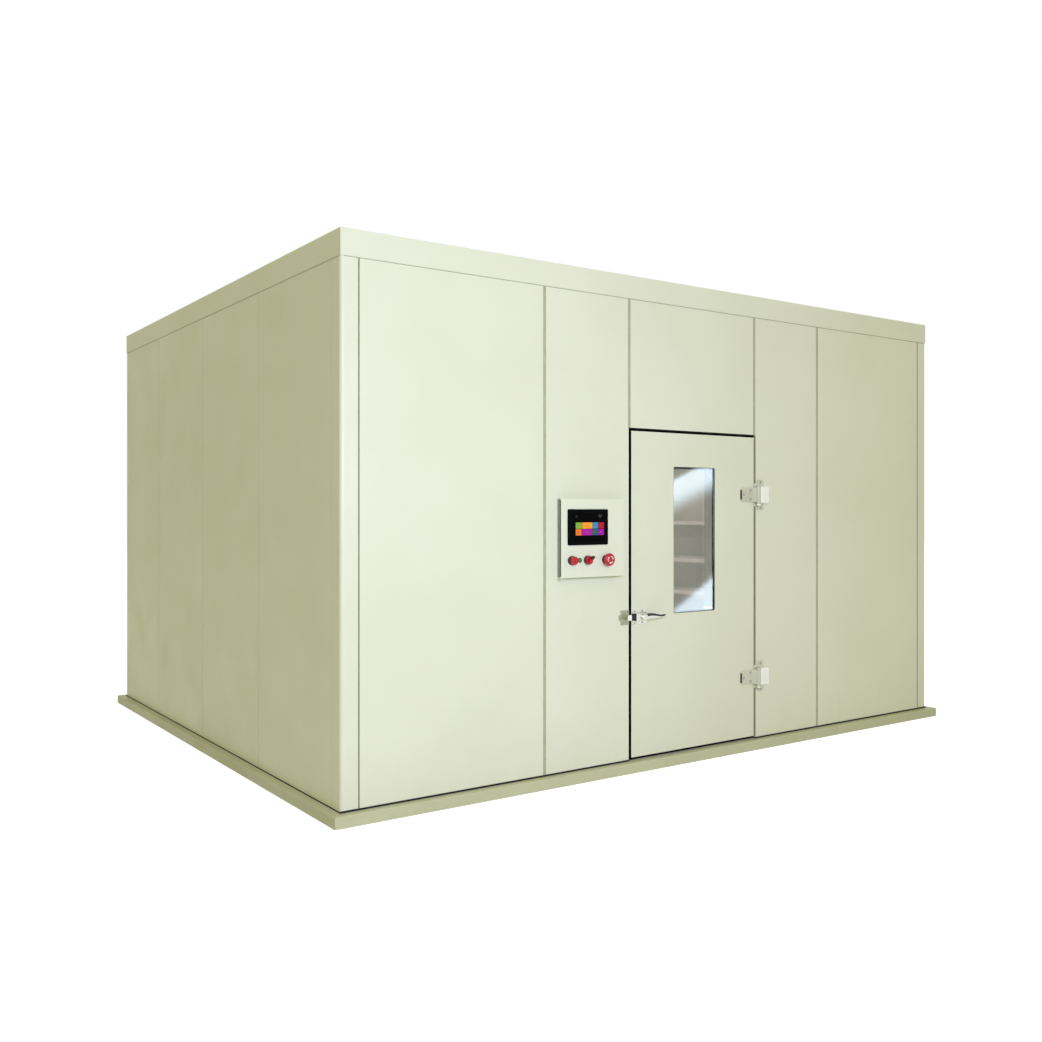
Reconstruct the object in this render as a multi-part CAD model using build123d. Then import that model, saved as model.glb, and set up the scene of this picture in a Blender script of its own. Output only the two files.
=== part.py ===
# Walk-in environmental test chamber: insulated panel room with a windowed door, a control box,
# an air cooler under the ceiling and its condensing unit on the rear wall.
# Millimetres. Origin at the centre of the base underside, +X along the front from left to right
# as seen from outside, the front wall faces -Y, +Z up.
from build123d import *
from math import cos, pi, radians, sin
import os

# Room
ROOM_WIDTH = 4830.0
ROOM_DEPTH = 4000.0
WALL_THICK = 100.0
BASE_HEIGHT = 60.0
BASE_STEP = 55.0  # how far the base stands out past the walls
BASE_EDGE = 4.0
WALL_SEAL_HEIGHT = 4.0
WALL_HEIGHT = 2756.0
ROOF_BAND = 140.0
ROOF_SHEET = 3.0
ROOF_FLANGE = 60.0
CEILING_THICK = 100.0
SEAM = 3.0  # gap between neighbouring panels, filled by a seal
SEAL_INSET = 5.0
CORNER_ROUND = 18.0
SIDE_PANEL = 1000.0
REAR_PANELS = 5
CEILING_PANELS = 5
FLOOR_PANELS = 5
FLOOR_PLATE = 3.0

# Doorway and door leaf
DOOR_MODULE = 1080.0
DOOR_HEIGHT = 1984.0
LATCH_GAP = 14.0
HINGE_GAP = 5.0
HEAD_GAP = 12.0
SILL_GAP = 12.0
SLAB_THICK = 56.0
PLUG_THICK = 40.0
PLUG_CLEAR = 18.0
JAMB_WIDTH = 50.0
JAMB_THICK = 34.0
THRESHOLD_HEIGHT = 8.0
GASKET_WIDTH = 30.0
TOUCH = 0.3  # gap between faces that meet on different bodies

# Window in the leaf
WINDOW_WIDTH = 372.0
WINDOW_HEIGHT = 920.0
WINDOW_SILL = 850.0  # above the wall foot
WINDOW_LINER = 8.0
WINDOW_RECESS = 10.0
PANE_THICK = 6.0
PANE_FIT = 0.3
GLAZING_RIB = 13.0
WINDOW_ROUND = 10.0

# Door hinges
HINGE_HEIGHTS = (404.0, 1594.0)  # above the wall foot
HINGE_AXIS_OUT = 32.0  # in front of the wall face
HINGE_AXIS_SIDE = 6.0  # beyond the door module's edge
HINGE_PIN_R = 8.0
HINGE_BARREL_R = 13.0
PIN_CLEAR = 0.05
STRAP_LENGTH = 125.0
STRAP_HEIGHT = 95.0
STRAP_THICK = 6.0
HINGE_LUG = 12.0
HINGE_LUG_GAP = 0.5
HINGE_PLATE_HEIGHT = 200.0
HINGE_PLATE_WIDTH = 60.0
HINGE_COVER_WIDTH = 76.0
HINGE_COVER_HEIGHT = 112.0
HINGE_COVER_DEPTH = 40.0
HINGE_COVER_WALL = 3.5
HINGE_COVER_ROUND = 7.0
HINGE_CAP_HEIGHT = 10.0

# Latch
LATCH_HEIGHT = 855.0  # above the wall foot
LATCH_INSET = 69.0  # spindle axis in from the leaf's free edge
LATCH_PLATE = (112.0, 92.0, 5.0)
LATCH_SETBACK = 14.0  # block in from the leaf's edge
LATCH_PLATE_EDGE = 6.0
LATCH_BLOCK = (52.0, 44.0, 34.0)
LATCH_SLOT_CLEAR = 0.4
BOLT_SHANK = (20.0, 13.0)  # height, depth
BOLT_NOSE = (13.0, 40.0)  # width along the throw, height
BOLT_TAIL = 14.0
SPINDLE_R = 6.0
SPINDLE_CLEAR = 0.05
LEAF_BORE_R = 9.0
LEVER_REACH = 171.0
LEVER_THICK = 14.0
LEVER_BOSS_R = 19.0
LEVER_NECK = 15.0
LEVER_TIP = 9.0
LEVER_HUMP = 17.0
KNOB_R = 34.0
KNOB_DEPTH = 30.0
STRIKE_PLATE = (62.0, 88.0, 5.0)
STRIKE_BLOCK = (32.0, 34.0)  # width, height
STRIKE_LIP = 8.0
STRIKE_POCKET = 16.0  # depth of the channel for the bolt nose
STRIKE_BACK = 15.0

# Control box
BOX_WIDTH = 460.0
BOX_PANEL_EDGE = 82.5  # panel face left on each side of the box
BOX_HEIGHT = 450.0
BOX_FOOT = 1110.0  # above the wall foot
BOX_RIM = 20.0
BOX_GAP = 14.0
BOX_DOOR = 18.0
BOX_DOOR_SHEET = 3.0
BOX_STILE = 13.0
BOX_TUB_INSET = 30.0
BOX_TUB_DEPTH = 60.0
BOX_SHEET = 2.0
BOX_POCKET_CLEAR = 0.5
BOX_PIN_R = 3.0
BOX_PIN_INSET = 6.0
BOX_PIN_GRIP = 14.0
BOX_LUG_HEIGHT = 6.0
BOX_GASKET_INSET = 10.0
BOX_GASKET_WIDTH = 12.0
SCREEN_BEZEL = (292.0, 205.0, 8.0)
SCREEN_BEZEL_ROUND = 9.0
SCREEN_BODY = (262.0, 172.0, 44.0)
SCREEN_GLASS = (250.0, 166.0, 3.0)
SCREEN_GLASS_SINK = 1.0
SCREEN_LEFT = 40.0  # bezel edge in from the box's left side
SCREEN_TOP = 60.0  # bezel edge down from the box's top
BUTTON_ROW = 99.0  # above the box's lower edge
STOP_X = 68.0  # button centres in from the box's left side
LAMP_X = 126.0
SELECTOR_X = 183.0
EMERGENCY_X = 318.0
BUTTON_COLLAR_R = 26.0
BUTTON_COLLAR = 18.0
BUTTON_CAP_R = 24.0
BUTTON_CAP = 16.0
BUTTON_STEM_R = 8.0
BUTTON_BARREL_R = 13.0
BUTTON_BARREL = 30.0
BUTTON_TRAVEL = 4.0
BUTTON_FIT = 0.3
LAMP_R = 14.0
LAMP_DOME = 9.0
SELECTOR_GRIP = (12.0, 62.0, 18.0)
EMERGENCY_R = 37.0
EMERGENCY_TRAVEL = 5.0
PLATE_MARGIN = 10.0
RAIL = (340.0, 35.0, 7.0)
RAIL_RISES = (92.0, -28.0)  # above the middle of the box
MODULE_DEPTH = 38.0
MODULE_HEIGHT = 90.0
MODULE_WIDTHS = (70.0, 45.0, 45.0, 36.0, 36.0, 36.0)

# Air cooler under the ceiling
COOLER_WIDTH = 1300.0
COOLER_DEPTH = 400.0
COOLER_HEIGHT = 376.0
COOLER_DROP = 40.0
COOLER_REAR_GAP = 250.0
COOLER_SHEET = 4.0
COOLER_HANGER = 40.0
COOLER_HANGER_INSET = 60.0
COOLER_HANGER_SHEET = 4.0
COOLER_FAN_SPAN = 560.0
COOLER_COIL_END = 60.0
COOLER_COIL_RIM = 23.0
COOLER_COIL = (COOLER_WIDTH - 2 * COOLER_COIL_END, 120.0, COOLER_HEIGHT - 2 * COOLER_COIL_RIM)
COOLER_COIL_BACK = 30.0
COIL_TAB = 20.0
COIL_TAB_THICK = 12.0
FIN_PITCH = 24.0
FIN_THICK = 10.0
FIN_DEPTH = 45.0
UBEND_R = 22.0
UBEND_TUBE_R = 7.0
UBEND_ROWS = 5
TRAY_HEIGHT = 40.0
TRAY_SHEET = 3.0
DRAIN_INSET = 60.0  # spout in from the tray's back
DRAIN_SPOUT = 18.0
DRAIN_COLLAR = 4.0
DRAIN_WALL = 3.0
FAN_R = 145.0
FAN_TIP_CLEAR = 7.0
FAN_RING_DEPTH = 60.0
FAN_BLADES = 5
FAN_HUB_R = 42.0
FAN_HUB = 44.0
FAN_CHORD = 92.0
FAN_BLADE_THICK = 5.0
FAN_STATIONS = ((0.0, 48.0, 0.62), (0.5, 34.0, 0.86), (1.0, 24.0, 1.0))  # share of span, pitch, chord
FAN_CAMBER = 0.16  # of half the chord
FAN_ROOT_SINK = 6.0
FAN_HUB_ROUND = 10.0
FAN_BORE_R = 6.0
FAN_SET_BACK = 36.0
UNIT_FAN_SET_BACK = 40.0
MOTOR_R = 48.0
MOTOR_LENGTH = 78.0
MOTOR_GAP = 14.0  # between the hub and the motor's face
GUARD_BAR = 5.0
GUARD_SHEET = 4.0
GUARD_SPOKES = 6
GUARD_OVERLAP = 18.0
GUARD_STANDOFF = 14.0
GUARD_FOOT_R = 6.0

# Condensing unit on the rear wall
UNIT_WIDTH = 900.0
UNIT_DEPTH = 400.0
UNIT_HEIGHT = 620.0
UNIT_FOOT = 1540.0
UNIT_WALL_GAP = 100.0
UNIT_SHEET = 4.0
UNIT_ROUND = 12.0
UNIT_FAN_X = -165.0
UNIT_FAN_R = 190.0
UNIT_COIL_HEAD = 60.0
UNIT_COIL = (540.0, 60.0, UNIT_HEIGHT - UNIT_COIL_HEAD)
UNIT_COIL_EDGE = 30.0
UNIT_COIL_GAP = 4.0
UNIT_RAIL = 10.0
UNIT_DIVIDER_X = 140.0
LOUVRES = 8
LOUVRE_EDGE = 60.0
LOUVRE_FOOT = 90.0
LOUVRE_PITCH = 22.0
LOUVRE_HEIGHT = 8.0
COMPRESSOR_R = 88.0
COMPRESSOR_HEIGHT = 290.0
COMPRESSOR_DOME = COMPRESSOR_R * 0.55
COMPRESSOR_BAND = (4.0, 8.0)
COMPRESSOR_MOUNT_R = 12.0
COMPRESSOR_MOUNT_INSET = 20.0
COMPRESSOR_FOOT = (210.0, 190.0, 6.0)
COMPRESSOR_RUBBER = 12.0
BRACKET_X = 330.0
BRACKET_ARM = 470.0
BRACKET_POST = 420.0
BRACKET_STRUT = 30.0
BRACKET_WEB = 110.0
BRACKET_SECTION = 40.0
BRACKET_SHEET = 6.0
SUCTION_R = 14.0
LIQUID_R = 7.0
PIPE_SPACING = 60.0
PIPE_X = 290.0
PIPE_RISE = 2600.0
PIPE_BEND = 70.0
DRAIN_R = 16.0
DRAIN_X = -300.0
DRAIN_OUT = 60.0
DRAIN_SPIGOT_R = 20.0
DRAIN_BEND = 40.0
DRAIN_Z = 2300.0
SLEEVE_CLEAR = 1.0

# Inside the room
LAMP_POSITION = (0.0, -450.0)
LAMP_BASE = (640.0, 150.0, 25.0)
LAMP_SHADE = (610.0, 120.0, 55.0)
LAMP_ROUND = 20.0
RACK_LENGTH = 1400.0
RACK_DEPTH = 500.0
RACK_HEIGHT = 1640.0
RACK_WALL_GAP = 25.0
RACK_START_Y = -500.0
RACK_POST = 28.0
RACK_SHELF = 30.0
RACK_SHEET = 2.0
SHELF_TOPS = (200.0, 520.0, 845.0, 1130.0, 1460.0)  # above the ground
PROBE_POSITION = (760.0, 900.0)
PROBE_GLAND_R = 22.0
PROBE_GLAND = 30.0
PROBE_R = 4.0
PROBE_LENGTH = 190.0

# Derived places
X0, X1 = -ROOM_WIDTH / 2, ROOM_WIDTH / 2
Y0, Y1 = -ROOM_DEPTH / 2, ROOM_DEPTH / 2
INNER_X0, INNER_X1 = X0 + WALL_THICK, X1 - WALL_THICK
INNER_Y0, INNER_Y1 = Y0 + WALL_THICK, Y1 - WALL_THICK
WALL_FOOT = BASE_HEIGHT + WALL_SEAL_HEIGHT
WALL_TOP = WALL_FOOT + WALL_HEIGHT
ROOF_TOP = WALL_TOP + ROOF_BAND
DOOR_X0, DOOR_X1 = -DOOR_MODULE / 2, DOOR_MODULE / 2
DOOR_TOP = WALL_FOOT + DOOR_HEIGHT
NARROW_PANEL = BOX_WIDTH + 2 * BOX_PANEL_EDGE
WIDE_PANEL = (ROOM_WIDTH - DOOR_MODULE) / 2 - WALL_THICK - NARROW_PANEL
LEAF_X0, LEAF_X1 = DOOR_X0 + LATCH_GAP, DOOR_X1 - HINGE_GAP
LEAF_Z0, LEAF_Z1 = WALL_FOOT + SILL_GAP, DOOR_TOP - HEAD_GAP
SLAB_BACK = Y0 + SLAB_THICK
LEAF_BACK = SLAB_BACK + PLUG_THICK
JAMB_FRONT = INNER_Y0 - JAMB_THICK
HINGE_X = DOOR_X1 + HINGE_AXIS_SIDE
HINGE_Y = Y0 - HINGE_AXIS_OUT
WINDOW_Z0 = WALL_FOOT + WINDOW_SILL
WINDOW_Z1 = WINDOW_Z0 + WINDOW_HEIGHT
WINDOW_ZC = (WINDOW_Z0 + WINDOW_Z1) / 2
LATCH_X = LEAF_X0 + LATCH_INSET
LATCH_Z = WALL_FOOT + LATCH_HEIGHT
BOLT_Y = Y0 - LATCH_PLATE[2] - TOUCH - BOLT_SHANK[1] / 2 - 4.0
BOX_X0 = DOOR_X0 - NARROW_PANEL / 2 - BOX_WIDTH / 2
BOX_X1 = BOX_X0 + BOX_WIDTH
BOX_XC = (BOX_X0 + BOX_X1) / 2
BOX_Z0 = WALL_FOOT + BOX_FOOT
BOX_Z1 = BOX_Z0 + BOX_HEIGHT
BOX_ZC = (BOX_Z0 + BOX_Z1) / 2
BOX_DOOR_BACK = Y0 - BOX_RIM - BOX_GAP
BOX_DOOR_FRONT = BOX_DOOR_BACK - BOX_DOOR
BOX_PIN_X = BOX_X0 + BOX_PIN_INSET
BOX_PIN_Y = BOX_DOOR_BACK - BOX_DOOR / 2
BUTTON_Z = BOX_Z0 + BUTTON_ROW
SCREEN_XC = BOX_X0 + SCREEN_LEFT + SCREEN_BEZEL[0] / 2
SCREEN_ZC = BOX_Z1 - SCREEN_TOP - SCREEN_BEZEL[1] / 2
COOLER_TOP = WALL_TOP - COOLER_DROP
COOLER_FOOT = COOLER_TOP - COOLER_HEIGHT
COOLER_BACK_Y = INNER_Y1 - COOLER_REAR_GAP
COOLER_FRONT_Y = COOLER_BACK_Y - COOLER_DEPTH
COOLER_ZC = (COOLER_TOP + COOLER_FOOT) / 2
COIL_BACK_Y = COOLER_BACK_Y - COOLER_COIL_BACK
UNIT_Y0 = Y1 + UNIT_WALL_GAP
UNIT_Y1 = UNIT_Y0 + UNIT_DEPTH
UNIT_ZC = UNIT_FOOT + UNIT_HEIGHT / 2
RACK_X1 = INNER_X1 - RACK_WALL_GAP
RACK_X0 = RACK_X1 - RACK_DEPTH
RACK_Y1 = RACK_START_Y + RACK_LENGTH


def block(x0, x1, y0, y1, z0, z1):
    """A box between its six faces."""
    return Pos((x0 + x1) / 2, (y0 + y1) / 2, (z0 + z1) / 2) * Box(x1 - x0, y1 - y0, z1 - z0)


def upright(sketch, z0, z1):
    """A plan outline drawn up from z0 to z1."""
    return extrude(Pos(0, 0, z0) * sketch, amount=z1 - z0, dir=(0, 0, 1))


def facing(sketch, y0, y1):
    """A front-view outline, x and z, drawn back from y0 to y1."""
    return extrude(Plane.XZ.offset(-y0) * sketch, amount=y1 - y0, dir=(0, 1, 0))


def across(sketch, x0, x1):
    """A side-view outline, y and z, drawn from x0 to x1."""
    return extrude(Plane.YZ.offset(x0) * sketch, amount=x1 - x0, dir=(1, 0, 0))


def outline(*points):
    return Polygon(*points, align=None)


def rod_y(x, z, radius, y0, y1):
    return facing(Pos(x, z) * Circle(radius), y0, y1)


def rod_z(x, y, radius, z0, z1):
    return upright(Pos(x, y) * Circle(radius), z0, z1)


def side_trapezoids(x0, x1, y0, y1, width):
    """Plan outlines of four mitred bars around a rectangle: front, right, rear, left."""
    outer = [(x0, y0), (x1, y0), (x1, y1), (x0, y1)]
    inner = [(x0 + width, y0 + width), (x1 - width, y0 + width),
             (x1 - width, y1 - width), (x0 + width, y1 - width)]
    return [outline(outer[i], outer[(i + 1) % 4], inner[(i + 1) % 4], inner[i]) for i in range(4)]


def split_span(start, end, count):
    """Spans of equal panels between start and end, with a seam between neighbours."""
    step = (end - start) / count
    return [(start + i * step + SEAM / 2, start + (i + 1) * step - SEAM / 2) for i in range(count)]


def wall_base_frame():
    width = BASE_STEP + WALL_THICK
    bars = side_trapezoids(X0 - BASE_STEP, X1 + BASE_STEP, Y0 - BASE_STEP, Y1 + BASE_STEP, width)
    solids = []
    for bar in bars:
        solid = upright(bar, 0, BASE_HEIGHT)
        rim = solid.edges().filter_by(lambda e: e.center().Z > BASE_HEIGHT - 1).sort_by(Edge.length)[-1]
        solids.append(chamfer(rim, BASE_EDGE))
    return solids


def floor_panels():
    spans = split_span(INNER_X0 - SEAM / 2, INNER_X1 + SEAM / 2, FLOOR_PANELS)
    return [block(a, b, INNER_Y0, INNER_Y1, 0, BASE_HEIGHT - FLOOR_PLATE) for a, b in spans]


def floor_plate():
    return [block(INNER_X0, INNER_X1, INNER_Y0, INNER_Y1, BASE_HEIGHT - FLOOR_PLATE, BASE_HEIGHT)]


def corner_posts():
    """Square posts with the outer upright edge rounded."""
    solids = []
    for sx in (-1, 1):
        for sy in (-1, 1):
            xa, ya = sx * X1, sy * Y1
            xb, yb = sx * (X1 - WALL_THICK + SEAM / 2), sy * (Y1 - WALL_THICK + SEAM / 2)
            post = block(min(xa, xb), max(xa, xb), min(ya, yb), max(ya, yb), WALL_FOOT, WALL_TOP)
            edge = post.edges().filter_by(Axis.Z).sort_by(lambda e: sx * e.center().X + sy * e.center().Y)[-1]
            solids.append(fillet(edge, CORNER_ROUND))
    return solids


def front_spans():
    """Panel spans of the front wall, named from left to right."""
    a = X0 + WALL_THICK
    b = a + WIDE_PANEL
    return {
        "left": (a + SEAM / 2, b - SEAM / 2),
        "control": (b + SEAM / 2, DOOR_X0),
        "header": (DOOR_X0 + SEAM, DOOR_X1 - SEAM),
        "hinge": (DOOR_X1, -b - SEAM / 2),
        "right": (-b + SEAM / 2, -a - SEAM / 2),
    }


def front_panel(name):
    a, b = front_spans()[name]
    return block(a, b, Y0, INNER_Y0, WALL_FOOT, WALL_TOP)


def control_wall_panel():
    """The panel left of the door, with the pocket that the control box sinks into."""
    inset = BOX_TUB_INSET - BOX_POCKET_CLEAR
    pocket = block(BOX_X0 + inset, BOX_X1 - inset, Y0 - 1, Y0 + BOX_TUB_DEPTH + BOX_POCKET_CLEAR,
                   BOX_Z0 + inset, BOX_Z1 - inset)
    return [front_panel("control") - pocket]


def header_panel():
    a, b = front_spans()["header"]
    return [block(a, b, Y0, INNER_Y0, DOOR_TOP, WALL_TOP)]


def side_wall_panels():
    """Left and right walls: three full panels and a shorter one at the rear."""
    solids = []
    cuts = [INNER_Y0 + i * SIDE_PANEL for i in range(4)] + [INNER_Y1]
    for xa, xb in ((X0, INNER_X0), (INNER_X1, X1)):
        for ya, yb in zip(cuts, cuts[1:]):
            solids.append(block(xa, xb, ya + SEAM / 2, yb - SEAM / 2, WALL_FOOT, WALL_TOP))
    return solids


def pipe_places():
    return [(PIPE_X - PIPE_SPACING / 2, SUCTION_R), (PIPE_X + PIPE_SPACING / 2, LIQUID_R)]


def rear_wall_panels():
    """Equal panels, with sleeves through the middle one for the pipes and the drain."""
    solids = []
    for a, b in split_span(INNER_X0, INNER_X1, REAR_PANELS):
        panel = block(a, b, INNER_Y1, Y1, WALL_FOOT, WALL_TOP)
        holes = [(x, PIPE_RISE, r) for x, r in pipe_places()] + [(DRAIN_X, DRAIN_Z, DRAIN_R)]
        for x, z, r in holes:
            if a < x < b:
                panel -= rod_y(x, z, r + SLEEVE_CLEAR, INNER_Y1 - 1, Y1 + 1)
        solids.append(panel)
    return solids


def ceiling_panels():
    inset = ROOF_SHEET
    spans = split_span(X0 + inset - SEAM / 2, X1 - inset + SEAM / 2, CEILING_PANELS)
    return [block(a, b, Y0 + inset, Y1 - inset, WALL_TOP, WALL_TOP + CEILING_THICK) for a, b in spans]


def roof_fascia():
    """Four mitred sheet angles: an upright band flush with the walls and a flange on top."""
    bands = side_trapezoids(X0, X1, Y0, Y1, ROOF_SHEET)
    flanges = side_trapezoids(X0, X1, Y0, Y1, ROOF_FLANGE)
    solids = []
    for band, flange in zip(bands, flanges):
        solids.append(
            upright(band, WALL_TOP + SEAM, ROOF_TOP)
            + upright(flange, ROOF_TOP - ROOF_SHEET, ROOF_TOP)
        )
    return solids


def wall_seals():
    """Upright strips in the seams and flat strips under the panels."""
    depth0, depth1 = SEAL_INSET, WALL_THICK - SEAL_INSET
    spans = front_spans()
    solids = []

    def strip_front(x, z0=WALL_FOOT):
        solids.append(block(x - SEAM / 2, x + SEAM / 2, Y0 + depth0, Y0 + depth1, z0, WALL_TOP))

    def strip_rear(x):
        solids.append(block(x - SEAM / 2, x + SEAM / 2, Y1 - depth1, Y1 - depth0, WALL_FOOT, WALL_TOP))

    for x in (spans["left"][0] - SEAM / 2, spans["left"][1] + SEAM / 2,
              spans["right"][0] - SEAM / 2, spans["right"][1] + SEAM / 2):
        strip_front(x)
    for x in (DOOR_X0 + SEAM / 2, DOOR_X1 - SEAM / 2):
        strip_front(x, DOOR_TOP)
    rear = split_span(INNER_X0, INNER_X1, REAR_PANELS)
    for x in [rear[0][0] - SEAM / 2] + [b + SEAM / 2 for _, b in rear]:
        strip_rear(x)
    cuts = [INNER_Y0 + i * SIDE_PANEL for i in range(4)] + [INNER_Y1]
    for xa in (X0 + depth0, X1 - depth1):
        for y in cuts:
            solids.append(block(xa, xa + depth1 - depth0, y - SEAM / 2, y + SEAM / 2, WALL_FOOT, WALL_TOP))
        solids.append(block(xa, xa + depth1 - depth0, Y0 + depth1, Y1 - depth1, BASE_HEIGHT, WALL_FOOT))
    solids.append(block(X0 + depth0, X1 - depth0, Y1 - depth1, Y1 - depth0, BASE_HEIGHT, WALL_FOOT))
    solids.append(block(X0 + depth0, DOOR_X0, Y0 + depth0, Y0 + depth1, BASE_HEIGHT, WALL_FOOT))
    solids.append(block(DOOR_X1, X1 - depth0, Y0 + depth0, Y0 + depth1, BASE_HEIGHT, WALL_FOOT))
    return solids


def door_frame():
    """Two jambs and a head behind the leaf, against which the leaf's gasket closes."""
    y0, y1 = JAMB_FRONT, INNER_Y0
    z0 = BASE_HEIGHT
    return [
        block(DOOR_X0, DOOR_X0 + JAMB_WIDTH, y0, y1, z0, DOOR_TOP),
        block(DOOR_X1 - JAMB_WIDTH, DOOR_X1, y0, y1, z0, DOOR_TOP),
        block(DOOR_X0 + JAMB_WIDTH, DOOR_X1 - JAMB_WIDTH, y0, y1, DOOR_TOP - JAMB_WIDTH, DOOR_TOP),
    ]


def threshold():
    """Step plate under the leaf with a raised stop for the lower gasket."""
    plate = block(DOOR_X0, DOOR_X1, Y0 + BASE_EDGE, JAMB_FRONT, BASE_HEIGHT, BASE_HEIGHT + THRESHOLD_HEIGHT)
    stop = block(DOOR_X0 + JAMB_WIDTH, DOOR_X1 - JAMB_WIDTH, JAMB_FRONT, INNER_Y0,
                 BASE_HEIGHT, LEAF_Z0 + GASKET_WIDTH - PLUG_CLEAR / 2)
    return [plate + stop]


def plug_box():
    """x0, x1, z0, z1 of the narrower inner part of the leaf."""
    side = JAMB_WIDTH + PLUG_CLEAR
    return DOOR_X0 + side, DOOR_X1 - side, LEAF_Z0 + GASKET_WIDTH + PLUG_CLEAR, DOOR_TOP - side


def window_outline(shrink=0.0):
    w, h = WINDOW_WIDTH - 2 * shrink, WINDOW_HEIGHT - 2 * shrink
    return Pos(0, WINDOW_ZC) * RectangleRounded(w, h, WINDOW_ROUND)


def door_leaf():
    slab = block(LEAF_X0, LEAF_X1, Y0, SLAB_BACK, LEAF_Z0, LEAF_Z1)
    slab = chamfer(slab.faces().sort_by(Axis.Y)[0].edges(), 1.0)
    a, b, c, d = plug_box()
    plug = block(a, b, SLAB_BACK, LEAF_BACK, c, d)
    plug = chamfer(plug.faces().sort_by(Axis.Y)[-1].edges(), 6.0)
    leaf = slab + plug
    leaf -= facing(window_outline(), Y0 - 1, LEAF_BACK + 1)
    leaf -= rod_y(LATCH_X, LATCH_Z, LEAF_BORE_R, Y0 - 1, LEAF_BACK + 1)
    return [leaf]


def door_gasket():
    """A bulb frame behind the slab's rim, and the finishing strips in the gaps round the leaf."""
    zc = (LEAF_Z0 + LEAF_Z1) / 2
    xc = (LEAF_X0 + LEAF_X1) / 2
    w, h = LEAF_X1 - LEAF_X0 - 4.0, LEAF_Z1 - LEAF_Z0 - 4.0
    ring = Pos(xc, zc) * (Rectangle(w, h) - Rectangle(w - 2 * GASKET_WIDTH, h - 2 * GASKET_WIDTH))
    return [facing(ring, SLAB_BACK, JAMB_FRONT - TOUCH)]


def window_frame():
    """Liner of the opening with a rib that the two panes bear against."""
    liner = facing(window_outline() - window_outline(WINDOW_LINER), Y0 + 1.0, LEAF_BACK - 0.5)
    rib0 = Y0 + WINDOW_RECESS + PANE_THICK
    rib1 = LEAF_BACK - PANE_THICK - WINDOW_LINER
    rib = facing(window_outline(WINDOW_LINER) - window_outline(WINDOW_LINER + GLAZING_RIB), rib0, rib1)
    return [liner + rib]


def window_panes():
    glass = window_outline(WINDOW_LINER + PANE_FIT)
    front = Y0 + WINDOW_RECESS
    back = LEAF_BACK - PANE_THICK - WINDOW_LINER
    return [facing(glass, front, front + PANE_THICK), facing(glass, back, back + PANE_THICK)]


def hinge_centres():
    return [WALL_FOOT + h for h in HINGE_HEIGHTS]


def hinge_straps():
    """Door flange, cranked out to a barrel on the pin."""
    r = HINGE_BARREL_R
    x_end = LEAF_X1 - 6.0
    flange = outline((LEAF_X1 - STRAP_LENGTH, Y0), (x_end, Y0), (x_end, Y0 - STRAP_THICK),
                     (LEAF_X1 - STRAP_LENGTH, Y0 - STRAP_THICK))
    crank = outline((x_end - 14.0, Y0), (x_end, Y0), (HINGE_X, HINGE_Y + r - 0.5), (HINGE_X - 4.0, HINGE_Y - r + 3.0),
                    (x_end - 14.0, Y0 - STRAP_THICK))
    solids = []
    for z in hinge_centres():
        z0, z1 = z - STRAP_HEIGHT / 2, z + STRAP_HEIGHT / 2
        strap = upright(flange, z0, z1) + upright(crank, z0, z1) + rod_z(HINGE_X, HINGE_Y, r, z0, z1)
        strap -= rod_z(HINGE_X, HINGE_Y, HINGE_PIN_R + PIN_CLEAR, z0 - 1, z1 + 1)
        free = strap.edges().filter_by(Axis.Y).sort_by(Axis.X)[:2]
        solids.append(chamfer(free, 12.0))
    return solids


def hinge_lug_spans(z):
    low = STRAP_HEIGHT / 2 + HINGE_LUG_GAP
    return [(z - low - HINGE_LUG, z - low), (z + low, z + low + HINGE_LUG)]


def hinge_plates():
    """Frame plate with two lugs that hold the pin above and below the strap's barrel."""
    r = HINGE_BARREL_R
    x0 = HINGE_X + r + 2.0
    lug = outline((HINGE_X, HINGE_Y - r), (x0 + 12.0, Y0 - STRAP_THICK - 6.0), (x0 + 12.0, Y0), (x0, Y0),
                  (HINGE_X, HINGE_Y + r))
    lug += Pos(HINGE_X, HINGE_Y) * Circle(r)
    lug -= Pos(HINGE_X, HINGE_Y) * Circle(HINGE_PIN_R + PIN_CLEAR)
    solids = []
    for z in hinge_centres():
        half = HINGE_PLATE_HEIGHT / 2
        plate = block(x0, x0 + HINGE_PLATE_WIDTH, Y0 - STRAP_THICK, Y0, z - half, z + half)
        plate = fillet(plate.edges().filter_by(Axis.Y), 8.0)
        for a, b in hinge_lug_spans(z):
            plate += upright(lug, a, b)
        solids.append(plate)
    return solids


def hinge_pins():
    reach = STRAP_HEIGHT / 2 + HINGE_LUG_GAP + HINGE_LUG
    return [rod_z(HINGE_X, HINGE_Y, HINGE_PIN_R, z - reach, z + reach) for z in hinge_centres()]


def hinge_covers():
    """Moulded hood over each frame plate, and a cap under each pin."""
    x0 = HINGE_X + HINGE_BARREL_R + 6.0
    x1 = x0 + HINGE_COVER_WIDTH
    y1 = Y0 - STRAP_THICK
    y0 = Y0 - HINGE_COVER_DEPTH
    solids = []
    for z in hinge_centres():
        z0, z1 = z - HINGE_COVER_HEIGHT / 2, z + HINGE_COVER_HEIGHT / 2
        hood = block(x0, x1, y0, y1, z0, z1)
        hood = fillet(hood.edges().filter_by(lambda e: e.center().Y < y1 - 1), HINGE_COVER_ROUND)
        w = HINGE_COVER_WALL
        hood -= block(x0 + w, x1 - w, y0 + w, y1 + 1, z0 + w, z1 - w)
        for a, b in hinge_lug_spans(z):
            hood -= block(x0 - 1, x0 + 12.0, y0 + 2 * w, y1 + 1, a - TOUCH, b + TOUCH)
        reach = STRAP_HEIGHT / 2 + HINGE_LUG_GAP + HINGE_LUG
        cap = rod_z(HINGE_X, HINGE_Y, HINGE_BARREL_R, z - reach - HINGE_CAP_HEIGHT, z - reach)
        cap = chamfer(cap.edges().sort_by(Axis.Z)[0], 2.5)
        solids += [hood, cap]
    return solids


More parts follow.
